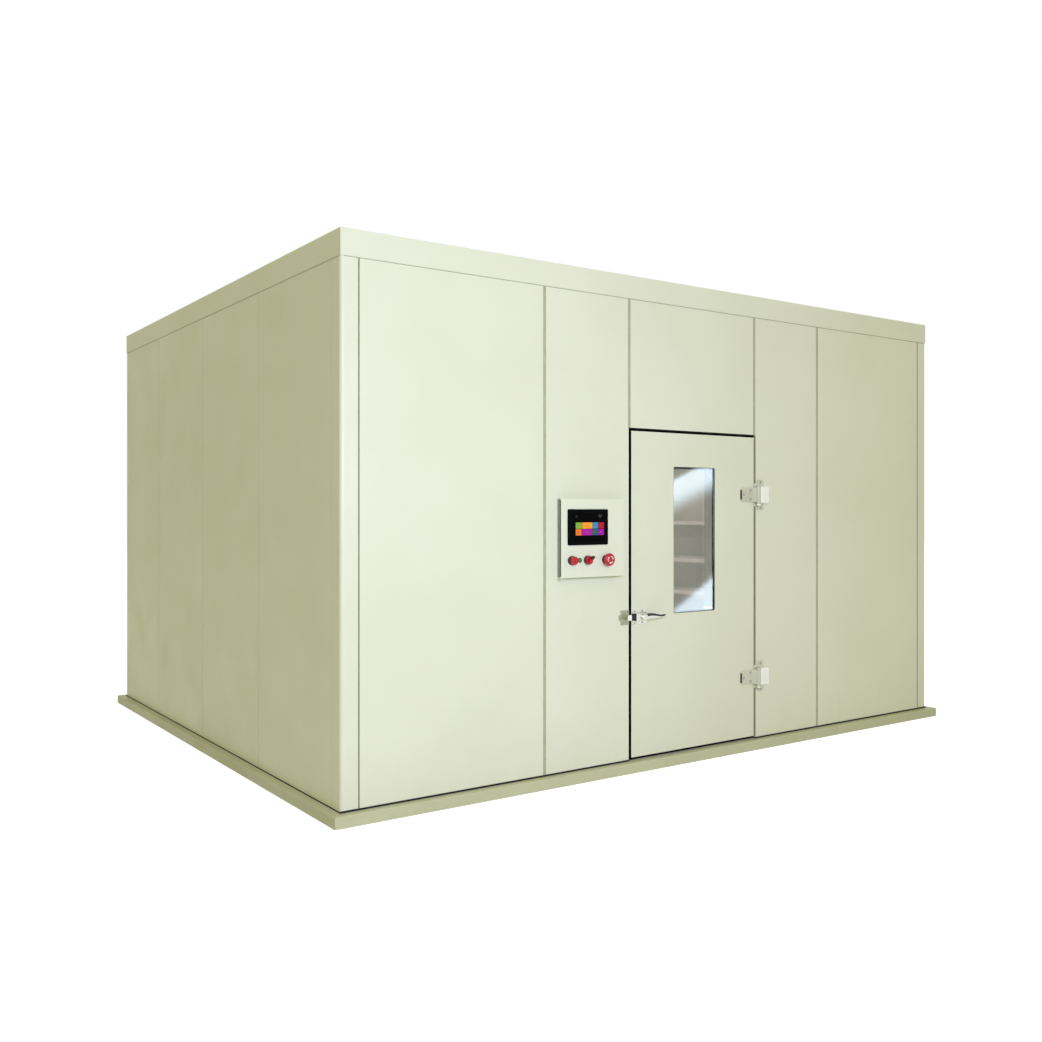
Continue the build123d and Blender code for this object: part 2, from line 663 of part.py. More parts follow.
def latch_body():
    """Base plate and block on the leaf; the bolt runs in a slot through the block."""
    pw, ph, pt = LATCH_PLATE
    bw, bh, bd = LATCH_BLOCK
    x0 = LEAF_X0 + LATCH_SETBACK
    plate = block(x0 - LATCH_PLATE_EDGE, x0 - LATCH_PLATE_EDGE + pw, Y0 - pt, Y0, LATCH_Z - ph / 2, LATCH_Z + ph / 2)
    plate = fillet(plate.edges().filter_by(Axis.Y), 12.0)
    body = block(x0, LATCH_X + bw / 2, Y0 - pt - bd, Y0 - pt, LATCH_Z - bh / 2, LATCH_Z + bh / 2)
    body = fillet(body.faces().sort_by(Axis.Y)[0].edges(), 5.0)
    part = plate + body
    half_h = BOLT_SHANK[0] / 2 + LATCH_SLOT_CLEAR
    half_d = BOLT_SHANK[1] / 2 + LATCH_SLOT_CLEAR
    x_end = LATCH_X - SPINDLE_R - 1.0
    part -= block(LEAF_X0, x_end, BOLT_Y - half_d, BOLT_Y + half_d, LATCH_Z - half_h, LATCH_Z + half_h)
    part -= rod_y(LATCH_X, LATCH_Z, SPINDLE_R + SPINDLE_CLEAR, Y0 - pt - bd - 1, Y0 + 1)
    return [part]


def latch_bolt():
    """Shank in the block and an upright rounded nose at the leaf's edge."""
    nw, nh = BOLT_NOSE
    x_tip = LEAF_X0 - 2.0
    x_tail = LATCH_X - LATCH_BLOCK[0] / 2 + BOLT_TAIL
    sh, sd = BOLT_SHANK
    shank = block(x_tip + nw / 2, x_tail, BOLT_Y - sd / 2, BOLT_Y + sd / 2, LATCH_Z - sh / 2, LATCH_Z + sh / 2)
    nose = rod_z(x_tip + nw / 2, BOLT_Y, nw / 2, LATCH_Z - nh / 2, LATCH_Z + nh / 2)
    return [shank + nose]


def latch_lever():
    """Boss on the spindle and a tapered arm with a thumb swell on its upper edge."""
    y1 = Y0 - LATCH_PLATE[2] - LATCH_BLOCK[2] - 1.0
    y0 = y1 - LEVER_THICK
    boss = Circle(LEVER_BOSS_R)
    arm = make_face([
        Line((8, -LEVER_NECK), (LEVER_REACH - LEVER_TIP, -LEVER_TIP + 3)),
        ThreePointArc((LEVER_REACH - LEVER_TIP, -LEVER_TIP + 3), (LEVER_REACH, 3), (LEVER_REACH - LEVER_TIP, LEVER_TIP)),
        Spline([(LEVER_REACH - LEVER_TIP, LEVER_TIP), (LEVER_REACH * 0.62, LEVER_TIP + 1),
                (LEVER_REACH * 0.42, LEVER_HUMP), (8, LEVER_NECK)]),
        Line((8, LEVER_NECK), (8, -LEVER_NECK)),
    ])
    lever = facing(Pos(LATCH_X, LATCH_Z) * (boss + arm), y0, y1)
    lever = fillet(lever.faces().sort_by(Axis.Y)[0].edges(), 3.5)
    return [lever - rod_y(LATCH_X, LATCH_Z, SPINDLE_R, y0 + 4.0, y1 + 1)]


def latch_spindle():
    y_front = Y0 - LATCH_PLATE[2] - LATCH_BLOCK[2] - 1.0 - LEVER_THICK + 4.0
    return [rod_y(LATCH_X, LATCH_Z, SPINDLE_R, y_front, LEAF_BACK + KNOB_DEPTH - 6.0)]


def inside_handle():
    """Round knob on the inner end of the spindle, with finger hollows round its rim."""
    y0 = LEAF_BACK + 1.0
    neck = rod_y(LATCH_X, LATCH_Z, SPINDLE_R + 8.0, y0, y0 + 8.0)
    rim = rod_y(LATCH_X, LATCH_Z, KNOB_R, y0 + 8.0, y0 + KNOB_DEPTH)
    rim = fillet(rim.edges().sort_by(Axis.Y)[-1], 6.0)
    knob = neck + rim
    for i in range(6):
        a = radians(60 * i + 30)
        x, z = LATCH_X + (KNOB_R + 5) * cos(a), LATCH_Z + (KNOB_R + 5) * sin(a)
        knob -= rod_y(x, z, 10.0, y0 + 7.0, y0 + KNOB_DEPTH + 1)
    return [knob - rod_y(LATCH_X, LATCH_Z, SPINDLE_R, y0 - 1, LEAF_BACK + KNOB_DEPTH - 6.0)]


def latch_strike():
    """Wall plate and a hooked block: the nose slides in behind its lip."""
    pw, ph, pt = STRIKE_PLATE
    bw, bh = STRIKE_BLOCK
    x1 = DOOR_X0 - 5.0
    plate = block(x1 - pw, x1, Y0 - pt, Y0, LATCH_Z - ph / 2, LATCH_Z + ph / 2)
    side = block(x1 - pw - 14, x1 - pw + 1, Y0 - pt, Y0, LATCH_Z - bh / 2, LATCH_Z + bh / 2)
    plate = fillet((plate + side).edges().filter_by(Axis.Y), 3.0)
    y_back = BOLT_Y + STRIKE_POCKET / 2
    y_front = BOLT_Y - STRIKE_POCKET / 2
    web = outline((x1 - bw, Y0 - pt), (x1 - bw, y_front - STRIKE_LIP), (x1, y_front - STRIKE_LIP + 3),
                  (x1, y_front), (x1 - bw + STRIKE_BACK, y_front), (x1 - bw + STRIKE_BACK, y_back),
                  (x1, y_back), (x1, Y0 - pt))
    return [plate + upright(web, LATCH_Z - bh / 2, LATCH_Z + bh / 2)]


def control_box_housing():
    """Rim on the wall face and a tub sunk into the wall panel; two lugs hold the door's pins."""
    rim = block(BOX_X0, BOX_X1, Y0 - BOX_RIM, Y0, BOX_Z0, BOX_Z1)
    rim = fillet(rim.edges().filter_by(Axis.Y), 4.0)
    i = BOX_TUB_INSET
    tub = block(BOX_X0 + i, BOX_X1 - i, Y0, Y0 + BOX_TUB_DEPTH, BOX_Z0 + i, BOX_Z1 - i)
    j = i + BOX_SHEET
    part = rim + tub
    part -= block(BOX_X0 + j, BOX_X1 - j, Y0 - BOX_RIM - 1, Y0 + BOX_TUB_DEPTH - BOX_SHEET, BOX_Z0 + j, BOX_Z1 - j)
    lug_plan = outline((BOX_X0, Y0 - BOX_RIM + 1), (BOX_X0, BOX_PIN_Y), (BOX_PIN_X + BOX_PIN_INSET, BOX_PIN_Y),
                       (BOX_PIN_X + BOX_PIN_INSET, Y0 - BOX_RIM + 1))
    lug_plan += Pos(BOX_PIN_X, BOX_PIN_Y) * Circle(BOX_PIN_INSET)
    foot_plan = outline((BOX_X0, Y0), (BOX_X0, Y0 - BOX_RIM), (BOX_PIN_X + BOX_PIN_INSET, Y0 - BOX_RIM),
                        (BOX_PIN_X + BOX_PIN_INSET, Y0))
    lug_plan = lug_plan + foot_plan - Pos(BOX_PIN_X, BOX_PIN_Y) * Circle(BOX_PIN_R + PIN_CLEAR)
    part += upright(lug_plan, BOX_Z1 + HINGE_LUG_GAP, BOX_Z1 + HINGE_LUG_GAP + BOX_LUG_HEIGHT)
    part += upright(foot_plan, BOX_Z1 - 5.0, BOX_Z1 + HINGE_LUG_GAP)
    part += upright(lug_plan, BOX_Z0 - HINGE_LUG_GAP - BOX_LUG_HEIGHT, BOX_Z0 - HINGE_LUG_GAP)
    part += upright(foot_plan, BOX_Z0 - HINGE_LUG_GAP, BOX_Z0 + 5.0)
    return [part]


def button_places():
    """Centre x of each control, by name."""
    return {"stop": BOX_X0 + STOP_X, "lamp": BOX_X0 + LAMP_X,
            "selector": BOX_X0 + SELECTOR_X, "emergency": BOX_X0 + EMERGENCY_X}


def control_box_door():
    """Folded pan with a solid hinge stile, and cut-outs for the screen and the controls."""
    y0, y1 = BOX_DOOR_FRONT, BOX_DOOR_BACK
    s = BOX_DOOR_SHEET
    pan = block(BOX_X0, BOX_X1, y0, y1, BOX_Z0, BOX_Z1)
    pan = fillet(pan.edges().filter_by(lambda e: e.center().Y < y0 + 1), 2.5)
    pan -= block(BOX_X0 + BOX_STILE, BOX_X1 - s, y0 + s, y1 + 1, BOX_Z0 + s, BOX_Z1 - s)
    w, h, _ = SCREEN_BODY
    pan -= facing(Pos(SCREEN_XC, SCREEN_ZC) * Rectangle(w + 1, h + 1), y0 - 1, y0 + s + 1)
    for x in button_places().values():
        pan -= rod_y(x, BUTTON_Z, BUTTON_BARREL_R + BUTTON_FIT, y0 - 1, y0 + s + 1)
    pan -= rod_z(BOX_PIN_X, BOX_PIN_Y, BOX_PIN_R + PIN_CLEAR, BOX_Z0 - 1, BOX_Z0 + BOX_PIN_GRIP)
    pan -= rod_z(BOX_PIN_X, BOX_PIN_Y, BOX_PIN_R + PIN_CLEAR, BOX_Z1 - BOX_PIN_GRIP, BOX_Z1 + 1)
    return [pan]


def control_box_pins():
    over = HINGE_LUG_GAP + BOX_LUG_HEIGHT
    return [
        rod_z(BOX_PIN_X, BOX_PIN_Y, BOX_PIN_R, BOX_Z1 - BOX_PIN_GRIP + 0.5, BOX_Z1 + over),
        rod_z(BOX_PIN_X, BOX_PIN_Y, BOX_PIN_R, BOX_Z0 - over, BOX_Z0 + BOX_PIN_GRIP - 0.5),
    ]


def control_box_gasket():
    i, w = BOX_GASKET_INSET, BOX_GASKET_WIDTH
    outer = Rectangle(BOX_WIDTH - 2 * i, BOX_HEIGHT - 2 * i)
    inner = Rectangle(BOX_WIDTH - 2 * (i + w), BOX_HEIGHT - 2 * (i + w))
    return [facing(Pos(BOX_XC, BOX_ZC) * (outer - inner), BOX_DOOR_BACK, Y0 - BOX_RIM - TOUCH)]


def screen_bezel():
    """Moulded front frame and the electronics body behind the door."""
    w, h, d = SCREEN_BEZEL
    at = Pos(SCREEN_XC, SCREEN_ZC)
    front = facing(at * RectangleRounded(w, h, SCREEN_BEZEL_ROUND), BOX_DOOR_FRONT - d, BOX_DOOR_FRONT)
    front = chamfer(front.faces().sort_by(Axis.Y)[0].edges(), 2.0)
    bw, bh, bd = SCREEN_BODY
    body = facing(at * Rectangle(bw, bh), BOX_DOOR_FRONT, BOX_DOOR_FRONT + BOX_DOOR_SHEET + bd)
    gw, gh, gt = SCREEN_GLASS
    y0 = BOX_DOOR_FRONT - d
    recess = facing(at * Rectangle(gw + 2 * PANE_FIT, gh + 2 * PANE_FIT), y0 - 1, y0 + SCREEN_GLASS_SINK + gt)
    return [front + body - recess]


def screen_glass():
    gw, gh, gt = SCREEN_GLASS
    y0 = BOX_DOOR_FRONT - SCREEN_BEZEL[2] + SCREEN_GLASS_SINK
    return [facing(Pos(SCREEN_XC, SCREEN_ZC) * Rectangle(gw, gh), y0, y0 + gt)]


def collar(x, radius, height, bore):
    """Threaded body through the door with a round collar in front of it."""
    ring = rod_y(x, BUTTON_Z, radius, BOX_DOOR_FRONT - height, BOX_DOOR_FRONT)
    ring = chamfer(ring.edges().sort_by(Axis.Y)[0], 2.0)
    barrel = rod_y(x, BUTTON_Z, BUTTON_BARREL_R, BOX_DOOR_FRONT,
                   BOX_DOOR_FRONT + BOX_DOOR_SHEET + BUTTON_BARREL)
    hole = rod_y(x, BUTTON_Z, bore, BOX_DOOR_FRONT - height - 1, BOX_DOOR_FRONT + BUTTON_BARREL - 6)
    return ring + barrel - hole


def button_collars():
    """Fixed bodies of the stop button, the selector and the emergency stop."""
    p = button_places()
    return [
        collar(p["stop"], BUTTON_COLLAR_R, BUTTON_COLLAR, BUTTON_STEM_R + BUTTON_FIT),
        collar(p["selector"], BUTTON_COLLAR_R, BUTTON_COLLAR, BUTTON_STEM_R + SPINDLE_CLEAR),
        collar(p["emergency"], BUTTON_COLLAR_R, BUTTON_COLLAR, BUTTON_STEM_R + BUTTON_FIT),
    ]


def push_cap(x, radius, depth, travel, dome):
    """A cap standing off its collar by its travel, on a stem in the body."""
    y_back = BOX_DOOR_FRONT - BUTTON_COLLAR - travel - TOUCH
    cap = rod_y(x, BUTTON_Z, radius, y_back - depth, y_back)
    cap = fillet(cap.edges().sort_by(Axis.Y)[0], dome)
    stem = rod_y(x, BUTTON_Z, BUTTON_STEM_R, y_back, BOX_DOOR_FRONT + BUTTON_BARREL - 7 - travel)
    return cap + stem


def stop_button():
    return [push_cap(button_places()["stop"], BUTTON_CAP_R, BUTTON_CAP, BUTTON_TRAVEL, 5.0)]


def emergency_stop():
    """Mushroom head on a narrower neck."""
    x = button_places()["emergency"]
    y_back = BOX_DOOR_FRONT - BUTTON_COLLAR - EMERGENCY_TRAVEL - TOUCH
    neck = rod_y(x, BUTTON_Z, BUTTON_CAP_R - 3, y_back - 6, y_back)
    head = rod_y(x, BUTTON_Z, EMERGENCY_R, y_back - 24, y_back - 6)
    head = fillet(head.edges().sort_by(Axis.Y)[0], 10.0)
    head = chamfer(head.edges().sort_by(Axis.Y)[-1], 4.0)
    stem = rod_y(x, BUTTON_Z, BUTTON_STEM_R, y_back, BOX_DOOR_FRONT + BUTTON_BARREL - 7 - EMERGENCY_TRAVEL)
    return [neck + head + stem]


def selector_knob():
    """Round knob with a raised bar grip turned to the upper right."""
    x = button_places()["selector"]
    y_back = BOX_DOOR_FRONT - BUTTON_COLLAR - TOUCH
    disc = rod_y(x, BUTTON_Z, BUTTON_CAP_R, y_back - 7, y_back)
    w, length, d = SELECTOR_GRIP
    grip = facing(Pos(x, BUTTON_Z) * Rot(0, 0, -45) * SlotOverall(length, w, rotation=90), y_back - 7 - d, y_back - 7)
    grip = chamfer(grip.faces().sort_by(Axis.Y)[0].edges(), 2.0)
    stem = rod_y(x, BUTTON_Z, BUTTON_STEM_R, y_back, BOX_DOOR_FRONT + BUTTON_BARREL - 7)
    return [disc + grip + stem]


def run_lamp():
    x = button_places()["lamp"]
    ring = rod_y(x, BUTTON_Z, LAMP_R, BOX_DOOR_FRONT - 6, BOX_DOOR_FRONT)
    dome = rod_y(x, BUTTON_Z, LAMP_R - 3, BOX_DOOR_FRONT - 6 - LAMP_DOME, BOX_DOOR_FRONT - 6)
    dome = fillet(dome.edges().sort_by(Axis.Y)[0], 7.0)
    barrel = rod_y(x, BUTTON_Z, BUTTON_BARREL_R, BOX_DOOR_FRONT,
                   BOX_DOOR_FRONT + BOX_DOOR_SHEET + BUTTON_BARREL)
    return [ring + dome + barrel]


def tub_back():
    return Y0 + BOX_TUB_DEPTH - BOX_SHEET


def mounting_plate():
    """Plate in the tub with two carrier rails."""
    i = BOX_TUB_INSET + BOX_SHEET + PLATE_MARGIN
    y1 = tub_back()
    part = block(BOX_X0 + i, BOX_X1 - i, y1 - 2, y1, BOX_Z0 + i, BOX_Z1 - i)
    w, h, d = RAIL
    for z in rail_heights():
        part += block(BOX_XC - w / 2, BOX_XC + w / 2, y1 - 2 - d, y1 - 2, z - h / 2, z + h / 2)
    return [part]


def rail_heights():
    return [BOX_ZC + rise for rise in RAIL_RISES]


def control_modules():
    """Supply, controller and relay blocks on the upper rail, a terminal strip on the lower one."""
    y1 = tub_back() - 2 - RAIL[2]
    z = rail_heights()[0]
    x = BOX_XC - sum(MODULE_WIDTHS) / 2 - 2.0 * (len(MODULE_WIDTHS) - 1) / 2
    solids = []
    for width in MODULE_WIDTHS:
        body = block(x, x + width, y1 - MODULE_DEPTH, y1, z - MODULE_HEIGHT / 2, z + MODULE_HEIGHT / 2)
        solids.append(chamfer(body.faces().sort_by(Axis.Y)[0].edges(), 3.0))
        x += width + 2.0
    z = rail_heights()[1]
    w = RAIL[0] - 30.0
    strip = block(BOX_XC - w / 2, BOX_XC + w / 2, y1 - MODULE_DEPTH + 6, y1, z - 24, z + 24)
    for i in range(12):
        xs = BOX_XC - w / 2 + (i + 0.5) * w / 12
        strip -= block(xs - 1, xs + 1, y1 - MODULE_DEPTH, y1 - MODULE_DEPTH + 12, z - 25, z + 25)
    solids.append(strip)
    return solids


def cooler_fan_places():
    return [-COOLER_FAN_SPAN / 2, COOLER_FAN_SPAN / 2]


def cooler_casing():
    """Folded casing, open behind and below, with an inlet ring round each fan, and four hangers."""
    x0, x1 = -COOLER_WIDTH / 2, COOLER_WIDTH / 2
    s = COOLER_SHEET
    y0, y1 = COOLER_FRONT_Y, COOLER_BACK_Y
    z0, z1 = COOLER_FOOT, COOLER_TOP
    top = block(x0, x1, y0, y1, z1 - s, z1)
    part = block(x0 + s, x1 - s, y0, y0 + s, z0, z1 - s)
    ends = [block(x0, x0 + s, y0, y1, z0, z1 - s), block(x1 - s, x1, y0, y1, z0, z1 - s)]
    r = FAN_R + FAN_TIP_CLEAR
    for x in cooler_fan_places():
        part += rod_y(x, COOLER_ZC, r + s, y0, y0 + FAN_RING_DEPTH)
        part -= rod_y(x, COOLER_ZC, r, y0 - 1, y0 + FAN_RING_DEPTH + 1)
    solids = [part, top] + ends
    h = COOLER_HANGER / 2
    t = COOLER_HANGER_SHEET
    for x in (x0 + COOLER_HANGER_INSET, x1 - COOLER_HANGER_INSET):
        for y in (y0 + COOLER_HANGER_INSET, y1 - COOLER_HANGER_INSET):
            solids.append(block(x - h, x + h, y - h, y + h, z1, z1 + t)
                          + block(x - h, x - h + t, y - h, y + h, z1, WALL_TOP)
                          + block(x - h, x + h, y - h, y + h, WALL_TOP - t, WALL_TOP))
    return solids


def finned_block(width, depth, height, both_sides):
    """Fin pack with upright slots in its faces, centred on x, its front at y 0, its foot at z 0."""
    plan = Pos(0, depth / 2) * Rectangle(width, depth)
    count = int((width - 2 * FIN_THICK) / FIN_PITCH)
    slots = Rectangle(FIN_PITCH - FIN_THICK, FIN_DEPTH)
    start = -(count - 1) * FIN_PITCH / 2
    for i in range(count):
        x = start + i * FIN_PITCH
        plan -= Pos(x, FIN_DEPTH / 2 - 0.01) * slots
        if both_sides:
            plan -= Pos(x, depth - FIN_DEPTH / 2 + 0.01) * slots
    return upright(plan, 0, height)


def cooler_coil():
    """Fin pack between the end plates, with the return bends at its left end."""
    w, d, h = COOLER_COIL
    z0 = COOLER_FOOT + (COOLER_HEIGHT - COOLER_SHEET - h) / 2
    y0 = COIL_BACK_Y - d
    solids = [Pos(0, y0, z0) * finned_block(w, d, h, True)]
    plate_w = (COOLER_WIDTH - w) / 2 - COOLER_SHEET
    for i in range(UBEND_ROWS):
        z = z0 + h * (i + 0.5) / UBEND_ROWS
        bend = revolve(Plane.XZ * Pos(UBEND_R, 0) * Circle(UBEND_TUBE_R), Axis.Z, 180)
        solids.append(Pos(-w / 2, y0 + d / 2, z) * Rot(0, 0, 90) * bend)
    for sx in (-1, 1):
        xa = sx * (COOLER_WIDTH / 2 - COOLER_SHEET)
        xb = sx * (COOLER_WIDTH / 2 - COOLER_SHEET - plate_w)
        for z in (z0, z0 + h - COIL_TAB):
            solids.append(block(min(xa, xb), max(xa, xb), y0 + d - COIL_TAB_THICK, y0 + d, z, z + COIL_TAB))
    return solids


def drip_tray():
    """Tray under the casing, with the drain spout at its left."""
    x0, x1 = -COOLER_WIDTH / 2, COOLER_WIDTH / 2
    z0, z1 = COOLER_FOOT - TRAY_HEIGHT, COOLER_FOOT
    tray = block(x0, x1, COOLER_FRONT_Y, COOLER_BACK_Y, z0, z1)
    s = TRAY_SHEET
    tray -= block(x0 + s, x1 - s, COOLER_FRONT_Y + s, COOLER_BACK_Y - s, z0 + s, z1 + 1)
    y = COOLER_BACK_Y - DRAIN_INSET
    tray += rod_z(DRAIN_X, y, DRAIN_R + DRAIN_COLLAR, z0 - DRAIN_SPOUT, z0)
    tray -= rod_z(DRAIN_X, y, DRAIN_R - DRAIN_WALL, z0 - DRAIN_SPOUT - 1, z0 + s + 1)
    return [tray]


def drain_pipe():
    """From the tray down, back through the rear wall and out to a plain end."""
    y = COOLER_BACK_Y - DRAIN_INSET
    z = COOLER_FOOT - TRAY_HEIGHT - DRAIN_SPOUT
    path = FilletPolyline((DRAIN_X, y, z), (DRAIN_X, y, DRAIN_Z), (DRAIN_X, Y1 + 1, DRAIN_Z),
                          radius=DRAIN_BEND)
    start = Plane(origin=(DRAIN_X, y, z), z_dir=(0, 0, -1))
    pipe = sweep(start * (Circle(DRAIN_R) - Circle(DRAIN_R - DRAIN_WALL)), path=path)
    spigot = rod_y(DRAIN_X, DRAIN_Z, DRAIN_SPIGOT_R, Y1, Y1 + DRAIN_OUT)
    spigot -= rod_y(DRAIN_X, DRAIN_Z, DRAIN_R - DRAIN_WALL, Y1 - 1, Y1 + DRAIN_OUT + 1)
    return [pipe + spigot]


def fan_rotor(radius, x, y, z, facing_y):
    """Hub with twisted, cambered blades, blowing towards -Y or +Y."""
    hub = Cylinder(FAN_HUB_R, FAN_HUB)
    hub = fillet(hub.edges().sort_by(Axis.Z)[-1], FAN_HUB_ROUND)
    root = FAN_HUB_R - FAN_ROOT_SINK
    scale = radius / FAN_R
    blades = []
    for i in range(FAN_BLADES):
        sections = []
        for share, pitch, chord in FAN_STATIONS:
            r = root + share * (radius - root)
            half = FAN_CHORD * scale * chord / 2
            t = FAN_BLADE_THICK * (1.2 - 0.5 * share)
            lens = make_face([
                ThreePointArc((-half, 0), (0, FAN_CAMBER * half + t / 2), (half, 0)),
                ThreePointArc((half, 0), (0, FAN_CAMBER * half - t / 2), (-half, 0)),
            ])
            a = radians(pitch)
            plane = Plane(origin=(r, 0, 0), x_dir=(0, cos(a), sin(a)), z_dir=(1, 0, 0))
            sections.append(plane * lens)
        blades.append(Rot(0, 0, 360 / FAN_BLADES * i) * loft(sections))
    rotor = hub
    for blade in blades:
        rotor += blade
    rotor &= Cylinder(radius, 4 * FAN_HUB)
    rotor -= Cylinder(FAN_BORE_R, 4 * FAN_HUB)
    turn = Rot(90, 0, 0) if facing_y < 0 else Rot(-90, 0, 0)
    return Pos(x, y, z) * turn * rotor


def cooler_fan_y():
    return COOLER_FRONT_Y + FAN_SET_BACK


def cooler_rotor(index):
    return [fan_rotor(FAN_R, cooler_fan_places()[index], cooler_fan_y(), COOLER_ZC, -1)]


def unit_fan_y():
    return UNIT_Y1 - UNIT_FAN_SET_BACK


def condenser_rotor():
    return [fan_rotor(UNIT_FAN_R, UNIT_FAN_X, unit_fan_y(), UNIT_ZC, 1)]


def fan_guard(radius, x, y, z, out):
    """Flat guard of rings and spokes on stand-off feet; out is the side it stands on."""
    rim = radius + GUARD_OVERLAP
    ya, yb = sorted((y, y + out * GUARD_SHEET))
    plan = Circle(FAN_HUB_R)
    rings = 3
    for i in range(rings):
        r = FAN_HUB_R + (rim - FAN_HUB_R) * (i + 1) / rings
        plan += Circle(r) - Circle(r - GUARD_BAR)
    for i in range(GUARD_SPOKES):
        reach = rim - GUARD_BAR / 2
        plan += Rot(0, 0, 360 / GUARD_SPOKES * i) * Pos(reach / 2, 0) * Rectangle(reach, GUARD_BAR)
    guard = facing(Pos(x, z) * plan, ya, yb)
    yf, yg = sorted((y, y - out * GUARD_STANDOFF))
    for i in range(3):
        a = radians(120 * i + 30)
        reach = rim - GUARD_FOOT_R - 2
        guard += rod_y(x + reach * cos(a), z + reach * sin(a), GUARD_FOOT_R, yf, yg)
    return guard


def fan_guards():
    y = COOLER_FRONT_Y - GUARD_STANDOFF
    solids = [fan_guard(FAN_R, x, y, COOLER_ZC, -1) for x in cooler_fan_places()]
    solids.append(fan_guard(UNIT_FAN_R, UNIT_FAN_X, UNIT_Y1 + GUARD_STANDOFF, UNIT_ZC, 1))
    return solids


def fan_motor(x, y_face, z, back, strut_to):
    """Motor with its shaft in the hub, on a cross bar between the casing's faces."""
    ya, yb = sorted((y_face, y_face + back * MOTOR_LENGTH))
    motor = rod_y(x, z, MOTOR_R, ya, yb)
    motor = chamfer(motor.edges().filter_by(GeomType.CIRCLE), 4.0)
    shaft_a, shaft_b = sorted((y_face, y_face - back * (FAN_HUB + MOTOR_GAP - 4)))
    motor += rod_y(x, z, FAN_BORE_R - SPINDLE_CLEAR, shaft_a, shaft_b)
    low, high = strut_to
    bar_a, bar_b = sorted((y_face + back * 30, y_face + back * 50))
    motor += block(x - 12, x + 12, bar_a, bar_b, low, high)
    return motor


def fan_motors():
    y = cooler_fan_y() + FAN_HUB / 2 + MOTOR_GAP
    span = (COOLER_FOOT, COOLER_TOP - COOLER_SHEET)
    solids = [fan_motor(x, y, COOLER_ZC, 1, span) for x in cooler_fan_places()]
    y = unit_fan_y() - FAN_HUB / 2 - MOTOR_GAP
    span = (UNIT_FOOT + UNIT_SHEET, UNIT_FOOT + UNIT_HEIGHT - UNIT_SHEET)
    solids.append(fan_motor(UNIT_FAN_X, y, UNIT_ZC, -1, span))
    return solids


def condenser_housing():
    """Sheet housing with the fan's outlet ring in its outer face, louvres at its right and a divider."""
    x0, x1 = -UNIT_WIDTH / 2, UNIT_WIDTH / 2
    y0, y1 = UNIT_Y0, UNIT_Y1
    z0, z1 = UNIT_FOOT, UNIT_FOOT + UNIT_HEIGHT
    s = UNIT_SHEET
    shell = block(x0, x1, y0, y1, z0, z1)
    shell = fillet(shell.edges().filter_by(Axis.Y), UNIT_ROUND)
    shell -= block(x0 + s, x1 - s, y0 - 1, y1 - s, z0 + s, z1 - s)
    shell += block(UNIT_DIVIDER_X, UNIT_DIVIDER_X + s, y0, y1 - s / 2, z0 + s / 2, z1 - s / 2)
    back = block(UNIT_DIVIDER_X, x1 - s / 2, y0, y0 + s, z0 + s / 2, z1 - s / 2)
    shell += back
    r = UNIT_FAN_R + FAN_TIP_CLEAR
    shell += rod_y(UNIT_FAN_X, UNIT_ZC, r + s, y1 - FAN_RING_DEPTH, y1)
    shell -= rod_y(UNIT_FAN_X, UNIT_ZC, r, y1 - FAN_RING_DEPTH - 1, y1 + 1)
    edge = LOUVRE_EDGE
    for i in range(LOUVRES):
        z = z0 + LOUVRE_FOOT + i * LOUVRE_PITCH
        shell -= block(UNIT_DIVIDER_X + edge, x1 - edge, y1 - s - 1, y1 + 1, z, z + LOUVRE_HEIGHT)
    return [shell]


def condenser_coil():
    w, d, h = UNIT_COIL
    x = -UNIT_WIDTH / 2 + UNIT_COIL_EDGE + w / 2
    z0 = UNIT_FOOT + UNIT_SHEET
    y0 = UNIT_Y0 + UNIT_COIL_GAP
    y1 = y0 + d
    solids = [Pos(x, y0, z0) * finned_block(w, d, h, False)]
    rail_top = UNIT_FOOT + UNIT_HEIGHT - UNIT_SHEET
    rail = block(x - w / 2, x + w / 2, y1 - UNIT_RAIL, y1, z0 + h, rail_top)
    return solids + [rail]


def compressor():
    """Hermetic shell with a domed top on a foot plate with rubber mounts."""
    x = (UNIT_DIVIDER_X + UNIT_SHEET + UNIT_WIDTH / 2 - UNIT_SHEET) / 2
    y = (UNIT_Y0 + UNIT_Y1) / 2
    z = UNIT_FOOT + UNIT_SHEET
    fw, fd, ft = COMPRESSOR_FOOT
    foot_z = z + COMPRESSOR_RUBBER
    foot = block(x - fw / 2, x + fw / 2, y - fd / 2, y + fd / 2, foot_z, foot_z + ft)
    shell = rod_z(x, y, COMPRESSOR_R, foot_z + ft, z + COMPRESSOR_HEIGHT)
    shell = fillet(shell.edges().sort_by(Axis.Z)[-1], COMPRESSOR_DOME)
    proud, width = COMPRESSOR_BAND
    band_z = z + COMPRESSOR_HEIGHT / 2
    part = foot + shell + rod_z(x, y, COMPRESSOR_R + proud, band_z, band_z + width)
    inset = COMPRESSOR_MOUNT_INSET
    for sx in (-1, 1):
        for sy in (-1, 1):
            at = (x + sx * (fw / 2 - inset), y + sy * (fd / 2 - inset))
            part += rod_z(*at, COMPRESSOR_MOUNT_R, z, foot_z)
    return [part]


